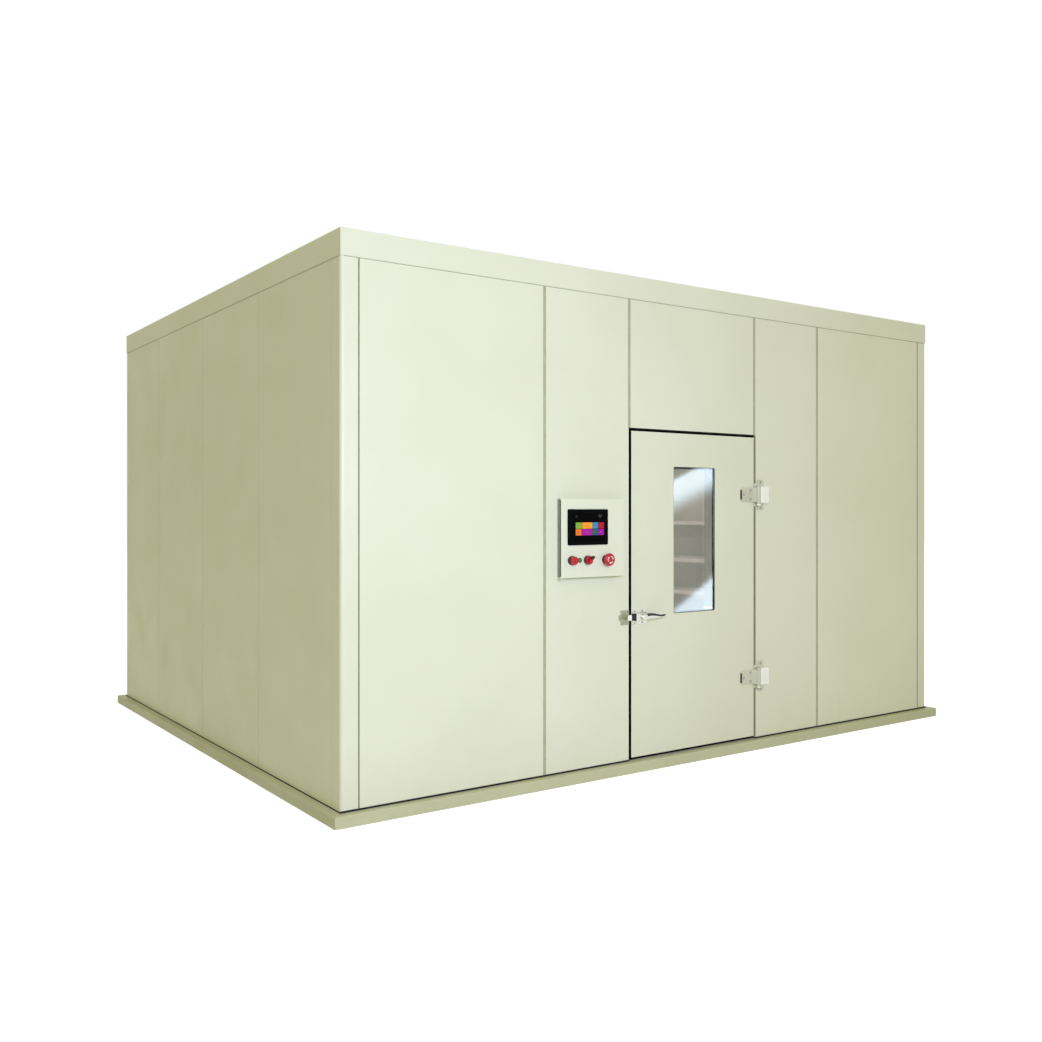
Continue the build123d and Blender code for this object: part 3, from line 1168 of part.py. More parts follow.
def unit_brackets():
    """Welded angle brackets: wall post, arm under the housing and a sloping strut."""
    z1 = UNIT_FOOT
    s = BRACKET_SECTION
    solids = []
    for x in (-BRACKET_X, BRACKET_X):
        post = block(x - s / 2, x + s / 2, Y1, Y1 + BRACKET_SHEET, z1 - BRACKET_POST, z1)
        arm = block(x - s / 2, x + s / 2, Y1, Y1 + BRACKET_ARM, z1 - BRACKET_SHEET, z1)
        foot, tip, wide = z1 - BRACKET_POST, Y1 + BRACKET_ARM, BRACKET_STRUT
        strut = across(outline((Y1, foot + wide), (Y1, foot + 2 * wide), (tip - 2 * wide, z1), (tip - wide, z1)),
                       x - BRACKET_SHEET / 2, x + BRACKET_SHEET / 2)
        web = across(outline((Y1, z1), (Y1, z1 - BRACKET_WEB), (Y1 + BRACKET_WEB, z1)),
                     x - BRACKET_SHEET / 2, x + BRACKET_SHEET / 2)
        solids.append(post + arm + strut + web)
    return solids


def refrigerant_pipes():
    """Suction and liquid pipes: up from the unit's top, then straight through the wall to the coil."""
    solids = []
    y_unit = UNIT_Y0 + UNIT_DEPTH / 2
    z_unit = UNIT_FOOT + UNIT_HEIGHT
    for x, r in pipe_places():
        path = FilletPolyline((x, y_unit, z_unit), (x, y_unit, PIPE_RISE), (x, COIL_BACK_Y, PIPE_RISE),
                              radius=PIPE_BEND)
        solids.append(sweep(Plane(origin=(x, y_unit, z_unit), z_dir=(0, 0, 1)) * Circle(r), path=path))
    return solids


def ceiling_lamp_base():
    w, d, h = LAMP_BASE
    x, y = LAMP_POSITION
    return [block(x - w / 2, x + w / 2, y - d / 2, y + d / 2, WALL_TOP - h, WALL_TOP)]


def ceiling_lamp_shade():
    w, d, h = LAMP_SHADE
    x, y = LAMP_POSITION
    top = WALL_TOP - LAMP_BASE[2]
    shade = block(x - w / 2, x + w / 2, y - d / 2, y + d / 2, top - h, top)
    low = shade.faces().sort_by(Axis.Z)[0].edges()
    return [fillet(low, LAMP_ROUND)]


def shelf_rack():
    """Six posts and five folded shelves."""
    solids = []
    p = RACK_POST
    for x in (RACK_X0, RACK_X1 - p):
        for y in (RACK_START_Y, (RACK_START_Y + RACK_Y1 - p) / 2, RACK_Y1 - p):
            solids.append(block(x, x + p, y, y + p, BASE_HEIGHT, BASE_HEIGHT + RACK_HEIGHT))
    return solids


def rack_shelves():
    solids = []
    p = RACK_POST
    for top in SHELF_TOPS:
        x0, x1, y0, y1 = RACK_X0 + p, RACK_X1 - p, RACK_START_Y, RACK_Y1
        shelf = block(x0, x1, y0, y1, top - RACK_SHELF, top)
        s = RACK_SHEET
        shelf -= block(x0 + s, x1 - s, y0 + s, y1 - s, top - RACK_SHELF - 1, top - s)
        solids.append(shelf)
    return solids


def temperature_probe():
    x, y = PROBE_POSITION
    gland = rod_z(x, y, PROBE_GLAND_R, WALL_TOP - PROBE_GLAND, WALL_TOP)
    gland = chamfer(gland.edges().sort_by(Axis.Z)[0], 5.0)
    return [gland + rod_z(x, y, PROBE_R, WALL_TOP - PROBE_LENGTH, WALL_TOP - PROBE_GLAND)]


def nodes():
    return {
        "base_frame": wall_base_frame(),
        "floor_panels": floor_panels(),
        "floor_plate": floor_plate(),
        "corner_posts": corner_posts(),
        "front_wide_panels": [front_panel("left"), front_panel("right")],
        "control_wall_panel": control_wall_panel(),
        "header_panel": header_panel(),
        "hinge_wall_panel": [front_panel("hinge")],
        "side_wall_panels": side_wall_panels(),
        "rear_wall_panels": rear_wall_panels(),
        "ceiling_panels": ceiling_panels(),
        "roof_fascia": roof_fascia(),
        "wall_seals": wall_seals(),
        "door_frame": door_frame(),
        "threshold": threshold(),
        "door_leaf": door_leaf(),
        "door_gasket": door_gasket(),
        "window_frame": window_frame(),
        "window_panes": window_panes(),
        "hinge_straps": hinge_straps(),
        "hinge_plates": hinge_plates(),
        "hinge_pins": hinge_pins() + control_box_pins(),
        "hinge_covers": hinge_covers(),
        "latch_body": latch_body(),
        "latch_bolt": latch_bolt(),
        "latch_lever": latch_lever(),
        "latch_spindle": latch_spindle(),
        "inside_handle": inside_handle(),
        "latch_strike": latch_strike(),
        "control_box_housing": control_box_housing(),
        "control_box_door": control_box_door(),
        "control_box_gasket": control_box_gasket(),
        "screen_bezel": screen_bezel(),
        "screen_glass": screen_glass(),
        "button_collars": button_collars(),
        "stop_button": stop_button(),
        "run_lamp": run_lamp(),
        "selector_knob": selector_knob(),
        "emergency_stop": emergency_stop(),
        "mounting_plate": mounting_plate(),
        "control_modules": control_modules(),
        "cooler_casing": cooler_casing(),
        "cooler_coil": cooler_coil(),
        "drip_tray": drip_tray(),
        "drain_pipe": drain_pipe(),
        "cooler_rotor_left": cooler_rotor(0),
        "cooler_rotor_right": cooler_rotor(1),
        "fan_guards": fan_guards(),
        "fan_motors": fan_motors(),
        "condenser_housing": condenser_housing(),
        "condenser_coil": condenser_coil(),
        "condenser_rotor": condenser_rotor(),
        "compressor": compressor(),
        "unit_brackets": unit_brackets(),
        "refrigerant_pipes": refrigerant_pipes(),
        "ceiling_lamp_base": ceiling_lamp_base(),
        "ceiling_lamp_shade": ceiling_lamp_shade(),
        "rack_posts": shelf_rack(),
        "rack_shelves": rack_shelves(),
        "temperature_probe": temperature_probe(),
    }


def main():
    os.makedirs("parts", exist_ok=True)
    for name, solids in nodes().items():
        whole = Compound(children=[s for shape in solids for s in shape.solids()])
        export_step(whole, f"parts/{name}.step")
        print(name, len(whole.solids()), round(whole.volume))


main()
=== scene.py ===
# %% [markdown]
# # Dressing a walk-in environmental test chamber
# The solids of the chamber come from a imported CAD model, in metres. This script gives them
# real surfaces, adds the small parts that a solid model leaves out, and sets up the camera
# and the light. Nothing of the CAD model is moved or reshaped.

# %% Load the frame
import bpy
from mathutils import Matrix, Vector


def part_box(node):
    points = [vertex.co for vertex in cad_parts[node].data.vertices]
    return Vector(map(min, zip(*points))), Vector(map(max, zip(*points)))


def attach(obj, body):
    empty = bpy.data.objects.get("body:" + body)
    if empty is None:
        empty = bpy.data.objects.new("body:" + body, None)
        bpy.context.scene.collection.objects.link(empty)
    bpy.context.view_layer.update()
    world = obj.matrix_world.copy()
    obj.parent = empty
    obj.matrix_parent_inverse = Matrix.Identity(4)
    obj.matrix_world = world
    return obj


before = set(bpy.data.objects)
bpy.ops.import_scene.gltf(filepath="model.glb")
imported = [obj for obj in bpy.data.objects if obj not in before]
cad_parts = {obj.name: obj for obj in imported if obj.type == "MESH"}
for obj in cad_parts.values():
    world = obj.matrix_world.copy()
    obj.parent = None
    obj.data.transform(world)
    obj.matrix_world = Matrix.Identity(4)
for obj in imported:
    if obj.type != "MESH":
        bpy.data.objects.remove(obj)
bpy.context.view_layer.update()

# %% Modules
from math import cos, pi, radians, sin

import bmesh
import bpy
from mathutils import Matrix, Vector

# %% [markdown]
# ## Colours and nodes
# Colours are written as sRGB hex values, as a paint chart gives them, and one function turns
# them into the linear values that shaders use. One function adds a node with its settings and
# links, so that each material below reads as a short list.

# %% Colour and node helpers
def linear(hex_colour):
    values = [int(hex_colour[i:i + 2], 16) / 255 for i in (1, 3, 5)]
    return tuple(v / 12.92 if v <= 0.04045 else ((v + 0.055) / 1.055) ** 2.4 for v in values) + (1.0,)


def add_node(tree, kind, settings=None, links=None):
    """Adds a node. A setting is one of the node's own values or the default of an input."""
    node = tree.nodes.new(kind)
    for name, value in (settings or {}).items():
        if isinstance(name, str) and hasattr(node, name):
            setattr(node, name, value)
        else:
            node.inputs[name].default_value = value
    for name, source in (links or {}).items():
        tree.links.new(source, node.inputs[name])
    return node


def start_material(name, colour, roughness, metallic=0.0, **sockets):
    """A material with its shader, and the place on the object in metres to drive patterns."""
    material = bpy.data.materials.new(name)
    material.use_nodes = True
    tree = material.node_tree
    tree.nodes.clear()
    settings = {"Base Color": linear(colour), "Roughness": roughness, "Metallic": metallic}
    settings.update({key.replace("_", " "): value for key, value in sockets.items()})
    shader = add_node(tree, "ShaderNodeBsdfPrincipled", settings)
    add_node(tree, "ShaderNodeOutputMaterial", links={"Surface": shader.outputs["BSDF"]})
    where = add_node(tree, "ShaderNodeTexCoord").outputs["Object"]
    return material, tree, shader, where


print("linear mid grey", linear("#808080")[0])

# %% [markdown]
# Most finishes need the same three things: a colour that isn't quite even, a gloss that isn't
# quite even, and a fine relief. Each is a small group of nodes fed by a noise whose size is
# given in real millimetres.

# %% Unevenness helpers
PATCH_LOW, PATCH_HIGH = 0.35, 0.65  # where a patch of the second colour begins and is full
CLOUD_LOW, CLOUD_HIGH = 0.3, 0.7  # nearly every value of a noise lies between these


def uneven_colour(tree, shader, where, first, second, size_mm):
    cloud = add_node(tree, "ShaderNodeTexNoise", {"Scale": 1000 / size_mm, "Detail": 3.0}, {"Vector": where})
    share = add_node(tree, "ShaderNodeMapRange", {"From Min": PATCH_LOW, "From Max": PATCH_HIGH},
                     {"Value": cloud.outputs[0]})
    mix = add_node(tree, "ShaderNodeMix", {"data_type": "RGBA", 6: linear(first), 7: linear(second)},
                   {0: share.outputs[0]})
    tree.links.new(mix.outputs[2], shader.inputs["Base Color"])
    return mix


def uneven_gloss(tree, shader, where, low, high, size_mm):
    cloud = add_node(tree, "ShaderNodeTexNoise", {"Scale": 1000 / size_mm, "Detail": 4.0}, {"Vector": where})
    span = add_node(tree, "ShaderNodeMapRange",
                    {"From Min": CLOUD_LOW, "From Max": CLOUD_HIGH, "To Min": low, "To Max": high},
                    {"Value": cloud.outputs[0]})
    tree.links.new(span.outputs[0], shader.inputs["Roughness"])


def relief(tree, shader, height, depth_mm, below=None):
    links = {"Height": height}
    if below is not None:
        links["Normal"] = below.outputs[0]
    bump = add_node(tree, "ShaderNodeBump", {"Strength": 1.0, "Distance": depth_mm / 1000}, links)
    tree.links.new(bump.outputs[0], shader.inputs["Normal"])
    return bump


def layer_over(tree, shader, mix, mask, colour):
    """Lays a second colour over a finish where the mask is 1."""
    top = add_node(tree, "ShaderNodeMix", {"data_type": "RGBA", 7: linear(colour)},
                   {0: mask, 6: mix.outputs[2]})
    tree.links.new(top.outputs[2], shader.inputs["Base Color"])


# %% [markdown]
# ## The wall panels: prepainted steel sheet
# Cold room panels are steel sheet, coated with polyester on a coil line and bonded to foam.
# The eye gets a pale ivory with a soft sheen, a faint orange peel, and very shallow upright
# rolls from the forming line. Real orange peel is about 1 mm across, which is far below a
# pixel of this picture, so it is drawn 7 mm across.

# %% Prepainted steel
PEEL_MM, PEEL_DEPTH_MM = 7.0, 0.04
ROLL_PITCH_MM, ROLL_DEPTH_MM = 100.0, 0.05
DUST_FULL, DUST_ENDS, DUST_SHARE = 0.05, 0.40, 0.16  # two heights in metres, and how much shows


def prepainted_steel(name, first, second, gloss=(0.38, 0.5)):
    material, tree, shader, where = start_material(name, first, gloss[0], IOR=1.5)
    mix = uneven_colour(tree, shader, where, first, second, 700)
    split = add_node(tree, "ShaderNodeSeparateXYZ", links={0: where})
    dust_place = add_node(tree, "ShaderNodeMapRange",
                          {"From Min": DUST_FULL, "From Max": DUST_ENDS, "To Min": DUST_SHARE, "To Max": 0.0},
                          {"Value": split.outputs[2]})
    streak = add_node(tree, "ShaderNodeTexNoise", {"Scale": 9.0, "Detail": 5.0}, {"Vector": where})
    dust = add_node(tree, "ShaderNodeMath", {"operation": "MULTIPLY"},
                    {0: dust_place.outputs[0], 1: streak.outputs[0]})
    layer_over(tree, shader, mix, dust.outputs[0], "#A9A485")
    uneven_gloss(tree, shader, where, gloss[0], gloss[1], 260)
    along = add_node(tree, "ShaderNodeVectorMath", {"operation": "DOT_PRODUCT", 1: (1.0, 1.0, 0.0)},
                     {0: where})
    turns = add_node(tree, "ShaderNodeMath", {"operation": "MULTIPLY", 1: 2 * pi * 1000 / ROLL_PITCH_MM},
                     {0: along.outputs["Value"]})
    roll = add_node(tree, "ShaderNodeMath", {"operation": "SINE"}, {0: turns.outputs[0]})
    rolls = relief(tree, shader, roll.outputs[0], ROLL_DEPTH_MM)
    peel = add_node(tree, "ShaderNodeTexNoise", {"Scale": 1000 / PEEL_MM, "Detail": 1.0}, {"Vector": where})
    relief(tree, shader, peel.outputs[0], PEEL_DEPTH_MM, rolls)
    return material


WALL_PAINT = prepainted_steel("prepainted_steel_ivory", "#E6E7D4", "#E2E3CE")
BAND_PAINT = prepainted_steel("prepainted_steel_roof_band", "#E6E7D4", "#E3E4D0")
DOOR_PAINT = prepainted_steel("prepainted_steel_door_skin", "#E4E5D1", "#E0E1CC", (0.34, 0.46))
# The base channel wears the walls' ivory darkened to olive. This is painted shade, since the low base gets
# less light than the walls.
SHADED_BASE_PAINT = prepainted_steel("base_channel_with_painted_shade", "#C6C7A4", "#BFC09D", (0.42, 0.55))
BOX_PAINT = prepainted_steel("powder_coated_control_box", "#E8E9D7", "#E4E5D2", (0.36, 0.44))
print("paints", WALL_PAINT.name, SHADED_BASE_PAINT.name)

# %% [markdown]
# ## White powder coat, black enamel and zinc
# The cooler's casing and the outdoor unit are powder coated: baked powder leaves a slightly
# pebbled, even skin. The compressor wears thick black enamel, and the brackets are zinc
# plated, which shows pale crystals, called spangle, about 12 mm across.

# %% Powder coat and enamel
PEBBLE_DEPTH_MM = 0.08


def powder_coat(name, first, second, pebble_mm, roughness):
    material, tree, shader, where = start_material(name, first, roughness, IOR=1.5)
    uneven_colour(tree, shader, where, first, second, 220)
    uneven_gloss(tree, shader, where, roughness - 0.05, roughness + 0.08, 60)
    pebble = add_node(tree, "ShaderNodeTexNoise", {"Scale": 1000 / pebble_mm, "Detail": 2.0},
                      {"Vector": where})
    relief(tree, shader, pebble.outputs[0], PEBBLE_DEPTH_MM)
    return material


COOLER_COAT = powder_coat("powder_coated_cooler", "#EDEEEA", "#E4E5E0", 3.0, 0.42)
UNIT_COAT = powder_coat("powder_coated_outdoor_unit", "#DCDCD0", "#D2D2C5", 3.0, 0.48)
RACK_COAT = powder_coat("powder_coated_rack", "#F4F2EE", "#ECE9E3", 3.0, 0.45)
MOTOR_COAT = powder_coat("black_motor_enamel", "#25262A", "#1C1D20", 2.0, 0.38)
COMPRESSOR_COAT = powder_coat("black_compressor_enamel", "#111214", "#1B1C1E", 4.0, 0.28)
GUARD_COAT = powder_coat("dipped_guard_wire", "#1B1C1C", "#262727", 1.5, 0.36)
HINGE_COAT = powder_coat("lacquered_zinc_die_casting", "#D3D3BE", "#C6C6B0", 2.0, 0.32)

# %% Spangled zinc
SPANGLE_MM = 12.0


def spangled_zinc(name, first, second):
    material, tree, shader, where = start_material(name, first, 0.38, 1.0)
    crystal = add_node(tree, "ShaderNodeTexVoronoi", {"Scale": 1000 / SPANGLE_MM}, {"Vector": where})
    grey = add_node(tree, "ShaderNodeSeparateColor", links={0: crystal.outputs["Color"]})
    mix = add_node(tree, "ShaderNodeMix", {"data_type": "RGBA", 6: linear(first), 7: linear(second)},
                   {0: grey.outputs[0]})
    tree.links.new(mix.outputs[2], shader.inputs["Base Color"])
    span = add_node(tree, "ShaderNodeMapRange", {"To Min": 0.28, "To Max": 0.46}, {"Value": grey.outputs[1]})
    tree.links.new(span.outputs[0], shader.inputs["Roughness"])
    return material


ZINC = spangled_zinc("zinc_plated_steel", "#9A9DA0", "#ACAFB1")

# %% [markdown]
# ## Stainless steel, aluminium and chrome
# The floor plate, the threshold and the probe are stainless sheet, brushed along their length:
# long fine scratches that stretch every highlight. The scratches are a noise squeezed to
# 0.8 mm one way and drawn out to 250 mm the other. The window liner is bright anodised
# aluminium, polished enough to mirror the rubber and the room beside it, and its outer flange
# is painted like the door. The latch is chrome plated, nearly a mirror with faint wear.

# %% Brushed and plated metals
SCRATCH_MM, SCRATCH_RUN_MM, SCRATCH_DEPTH_MM = 0.8, 250.0, 0.02


def brushed_metal(name, first, second, along, roughness):
    """along is the axis of the brushing: the scratches run that way."""
    material, tree, shader, where = start_material(name, first, roughness, 1.0)
    scales = tuple(1000 / (SCRATCH_RUN_MM if axis == along else SCRATCH_MM) for axis in "XYZ")
    stretch = add_node(tree, "ShaderNodeMapping", {"Scale": scales}, {"Vector": where})
    scratch = add_node(tree, "ShaderNodeTexNoise", {"Scale": 1.0, "Detail": 2.0},
                       {"Vector": stretch.outputs[0]})
    span = add_node(tree, "ShaderNodeMapRange", {"To Min": roughness - 0.08, "To Max": roughness + 0.12},
                    {"Value": scratch.outputs[0]})
    uneven_colour(tree, shader, where, first, second, 300)
    tree.links.new(span.outputs[0], shader.inputs["Roughness"])
    relief(tree, shader, scratch.outputs[0], SCRATCH_DEPTH_MM)
    return material


FLOOR_STEEL = brushed_metal("brushed_stainless_floor", "#A9ABAC", "#9EA0A2", "Y", 0.42)
SHEET_STEEL = brushed_metal("brushed_stainless_threshold", "#B6B7B6", "#A6A7A6", "X", 0.34)
ANODISED = brushed_metal("anodised_aluminium_liner", "#D4D4CE", "#CACAC4", "Z", 0.16)

# %% The liner's outer flange is painted like the door
LINER_PAINT_FROM, LINER_PAINT_TO = -1.9985, -1.9955  # Y in metres, just behind the flange
liner_tree = ANODISED.node_tree
liner_metal = next(n for n in liner_tree.nodes if n.type == "BSDF_PRINCIPLED")
liner_place = add_node(liner_tree, "ShaderNodeTexCoord").outputs["Object"]
liner_axes = add_node(liner_tree, "ShaderNodeSeparateXYZ", links={0: liner_place})
liner_paint = add_node(liner_tree, "ShaderNodeBsdfPrincipled",
                       {"Base Color": linear("#E4E5D3"), "Roughness": 0.44, "IOR": 1.47})
bare_metal = add_node(liner_tree, "ShaderNodeMapRange",
                      {"From Min": LINER_PAINT_FROM, "From Max": LINER_PAINT_TO},
                      {"Value": liner_axes.outputs["Y"]})
liner_mix = add_node(liner_tree, "ShaderNodeMixShader",
                     links={0: bare_metal.outputs[0], 1: liner_paint.outputs[0], 2: liner_metal.outputs[0]})
liner_out = next(n for n in liner_tree.nodes if n.type == "OUTPUT_MATERIAL")
liner_tree.links.new(liner_mix.outputs[0], liner_out.inputs["Surface"])
print("liner painted in front of y", LINER_PAINT_FROM)

# %% More metals
FIN_METAL = brushed_metal("rolled_fin_aluminium", "#C3C5C6", "#B2B4B5", "Z", 0.36)
FAN_METAL = brushed_metal("pressed_fan_aluminium", "#A5A7A8", "#989A9B", "X", 0.36)
PIN_METAL = brushed_metal("turned_steel_pin", "#9C9D9E", "#8A8B8C", "Z", 0.3)
SCREW_METAL = brushed_metal("bright_zinc_screw", "#A8A9A4", "#94958F", "X", 0.3)

# %% Chrome and copper
def plated(name, first, second, roughness):
    material, tree, shader, where = start_material(name, first, roughness, 1.0)
    uneven_colour(tree, shader, where, first, second, 14)
    uneven_gloss(tree, shader, where, roughness, roughness + 0.14, 9)
    return material


CHROME = plated("chrome_plated_zinc", "#DCDCD2", "#CFCFC4", 0.14)
SATIN_NICKEL = plated("satin_nickel_strike", "#B4B49C", "#A6A68E", 0.34)
COPPER = plated("drawn_copper_pipe", "#B87A5A", "#8F5B41", 0.26)

# %% [markdown]
# ## Plastics, rubber and glass
# Mouldings have a fine spark-eroded grain, about 0.5 mm, drawn 1.5 mm so that it shows, and
# slightly uneven gloss where hands have polished them. Rubber is the dullest finish here. The
# seams between panels are closed with grey mastic, and the strip that carries the walls on the
# base is black rubber, which reads as a sharp dark line all round the room.

# %% Moulded plastics
def moulding(name, first, second, roughness, grain_mm=1.5, depth_mm=0.03, **sockets):
    material, tree, shader, where = start_material(name, first, roughness, IOR=1.47, **sockets)
    uneven_colour(tree, shader, where, first, second, 35)
    uneven_gloss(tree, shader, where, max(roughness - 0.06, 0.05), roughness + 0.08, 18)
    grain = add_node(tree, "ShaderNodeTexNoise", {"Scale": 1000 / grain_mm, "Detail": 2.0},
                     {"Vector": where})
    relief(tree, shader, grain.outputs[0], depth_mm)
    return material


WHITE_PLASTIC = moulding("white_nylon_moulding", "#FBFBF5", "#F7F7F0", 0.3)
# Black nylon is the bolt's and the selector's own colour, and also painted shade on the strap ends and along
# the lever's top.
BLACK_NYLON_AND_SHADE = moulding("black_nylon_and_painted_shade", "#141414", "#1D1D1D", 0.42)
GREEN_KNOB = moulding("green_release_knob", "#1F8A45", "#187A3B", 0.3)
FRAME_PVC = moulding("extruded_pvc_frame", "#D9DAC8", "#CFD0BD", 0.45, 4.0)
SCREEN_CASE = moulding("black_abs_screen_case", "#040405", "#070708", 0.6, Specular_IOR_Level=0.04)
RED_CAP = moulding("red_acetal_cap", "#C8142B", "#B00F24", 0.22)
BLACK_COLLAR = moulding("black_acetal_collar", "#101011", "#19191B", 0.3)
GREY_MODULE = moulding("light_grey_abs_module", "#A9ACAB", "#9EA1A0", 0.5)
DRAIN_PVC = moulding("grey_pvc_drain", "#C9CAC6", "#BDBEB9", 0.4)
LAMP_LENS = moulding("green_lamp_lens", "#5E7A48", "#4D6A3C", 0.16)
# Black rubber is the gaskets' own colour, and also painted shade on the control box's side faces.
GASKET = moulding("black_epdm_rubber_and_painted_shade", "#0A0A0A", "#101010", 0.75, 2.5, 0.06)
FOAM_SLEEVE = moulding("black_foam_pipe_sleeve", "#17181A", "#202124", 0.85, 2.0, 0.12)

# %% Seam mastic and foot rubber
FOOT_RUBBER_TOP = 0.0645  # the seals are black rubber below this height, mastic above it
SEALS, seal_tree, seal_shader, seal_where = start_material("seam_mastic_and_foot_rubber", "#6F7159", 0.7)
seal_mix = uneven_colour(seal_tree, seal_shader, seal_where, "#6F7159", "#62644D", 40)
seal_split = add_node(seal_tree, "ShaderNodeSeparateXYZ", links={0: seal_where})
foot_strip = add_node(seal_tree, "ShaderNodeMath", {"operation": "LESS_THAN", 1: FOOT_RUBBER_TOP},
                      {0: seal_split.outputs[2]})
layer_over(seal_tree, seal_shader, seal_mix, foot_strip.outputs[0], "#0D0D0B")
print("seals split at the wall foot, z", FOOT_RUBBER_TOP)

# %% [markdown]
# The panes are float glass: clear, flat and faintly green-blue, so they mirror sharply.
# Light has to reach the room through them, so shadow rays pass while everything else sees
# real glass. The lamp's shade is opal acrylic with moulded ribs, lit from inside.

# %% Glass
GLASS, glass_tree, glass_shader, glass_where = start_material(
    "float_glass_pane", "#F2F4F4", 0.0, IOR=1.5, Transmission_Weight=1.0)
uneven_colour(glass_tree, glass_shader, glass_where, "#F4F6F6", "#ECF1F1", 400)
ray = add_node(glass_tree, "ShaderNodeLightPath")
clear = add_node(glass_tree, "ShaderNodeBsdfTransparent", {"Color": linear("#EAF3F2")})
pane = add_node(glass_tree, "ShaderNodeMixShader",
                links={0: ray.outputs["Is Shadow Ray"], 1: glass_shader.outputs[0], 2: clear.outputs[0]})
for node in glass_tree.nodes:
    if node.type == "OUTPUT_MATERIAL":
        glass_tree.links.new(pane.outputs[0], node.inputs["Surface"])

# %% Screen glass and opal shade
RIB_PITCH, RIB_DEPTH_MM = 0.012, 0.6
SCREEN_GLASS = moulding("black_cover_glass", "#030304", "#050506", 0.25, 30.0, 0.01, Specular_IOR_Level=0.03)
OPAL, opal_tree, opal_shader, opal_where = start_material(
    "opal_acrylic_shade", "#F4F6F2", 0.35, IOR=1.49, Emission_Color=linear("#FFF6E4"), Emission_Strength=0.9)
uneven_colour(opal_tree, opal_shader, opal_where, "#F6F8F4", "#ECEEE9", 120)
opal_split = add_node(opal_tree, "ShaderNodeSeparateXYZ", links={0: opal_where})
rib_turns = add_node(opal_tree, "ShaderNodeMath", {"operation": "MULTIPLY", 1: 2 * pi / RIB_PITCH},
                     {0: opal_split.outputs[0]})
rib = add_node(opal_tree, "ShaderNodeMath", {"operation": "SINE"}, {0: rib_turns.outputs[0]})
relief(opal_tree, opal_shader, rib.outputs[0], RIB_DEPTH_MM)
print("ribs on the shade every", RIB_PITCH, "m")

# %% [markdown]
# ## The emergency stop's head
# The head is red acetal with three white turning arrows moulded into its face, a generic sign
# that tells the hand to twist it free. The arrows are worked out in the shader from the angle
# and the distance to the head's centre: a band 4.4 mm wide that widens into an arrow head.
# Each arrow fills three quarters of its third of the circle, and its head one quarter.

# %% Arrows in the shader
head_low, head_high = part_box("emergency_stop")
HEAD_X = (head_low[0] + head_high[0]) / 2
HEAD_Z = (head_low[2] + head_high[2]) / 2
HEAD_FACE = head_low[1] + 0.0015
ARROW_RADIUS = 0.0185
POINT_SHARE, ARROW_SHARE = 0.26, 0.74
POINT_HALF, BAND_HALF = 0.0060, 0.0022


def arrowed_head():
    material, tree, shader, where = start_material("red_acetal_arrow_head", "#C8142B", 0.22, IOR=1.48)
    mix = uneven_colour(tree, shader, where, "#C8142B", "#B30F25", 25)
    local = add_node(tree, "ShaderNodeVectorMath", {"operation": "SUBTRACT", 1: (HEAD_X, 0.0, HEAD_Z)},
                     {0: where})
    split = add_node(tree, "ShaderNodeSeparateXYZ", links={0: local.outputs[0]})
    flat = add_node(tree, "ShaderNodeCombineXYZ", links={0: split.outputs[0], 1: split.outputs[2]})
    radius = add_node(tree, "ShaderNodeVectorMath", {"operation": "LENGTH"}, {0: flat.outputs[0]})
    angle = add_node(tree, "ShaderNodeMath", {"operation": "ARCTAN2"},
                     {0: split.outputs[2], 1: split.outputs[0]})
    thirds = add_node(tree, "ShaderNodeMath", {"operation": "MULTIPLY", 1: 3 / (2 * pi)},
                      {0: angle.outputs[0]})
    along = add_node(tree, "ShaderNodeMath", {"operation": "FRACT"}, {0: thirds.outputs[0]})
    head = add_node(tree, "ShaderNodeMapRange",
                    {"From Min": POINT_SHARE, "From Max": 0.0, "To Min": POINT_HALF, "To Max": 0.0},
                    {"Value": along.outputs[0]})
    tail = add_node(tree, "ShaderNodeMath", {"operation": "GREATER_THAN", 1: POINT_SHARE},
                    {0: along.outputs[0]})
    end = add_node(tree, "ShaderNodeMath", {"operation": "LESS_THAN", 1: ARROW_SHARE}, {0: along.outputs[0]})
    width = add_node(tree, "ShaderNodeMix", {"data_type": "FLOAT", 3: BAND_HALF},
                     {0: tail.outputs[0], 2: head.outputs[0]})
    off = add_node(tree, "ShaderNodeMath", {"operation": "SUBTRACT", 1: ARROW_RADIUS},
                   {0: radius.outputs["Value"]})
    away = add_node(tree, "ShaderNodeMath", {"operation": "ABSOLUTE"}, {0: off.outputs[0]})
    inside = add_node(tree, "ShaderNodeMath", {"operation": "LESS_THAN"},
                      {0: away.outputs[0], 1: width.outputs[0]})
    front = add_node(tree, "ShaderNodeMath", {"operation": "LESS_THAN", 1: HEAD_FACE},
                     {0: split.outputs[1]})
    part = add_node(tree, "ShaderNodeMath", {"operation": "MULTIPLY"},
                    {0: inside.outputs[0], 1: end.outputs[0]})
    mask = add_node(tree, "ShaderNodeMath", {"operation": "MULTIPLY"},
                    {0: part.outputs[0], 1: front.outputs[0]})
    layer_over(tree, shader, mix, mask.outputs[0], "#F4F1EC")
    return material


ARROW_HEAD = arrowed_head()
print("arrow head centre", round(HEAD_X, 4), round(HEAD_Z, 4))

# %% [markdown]
# ## Giving the CAD solids their finishes
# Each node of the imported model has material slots. Only those are changed.

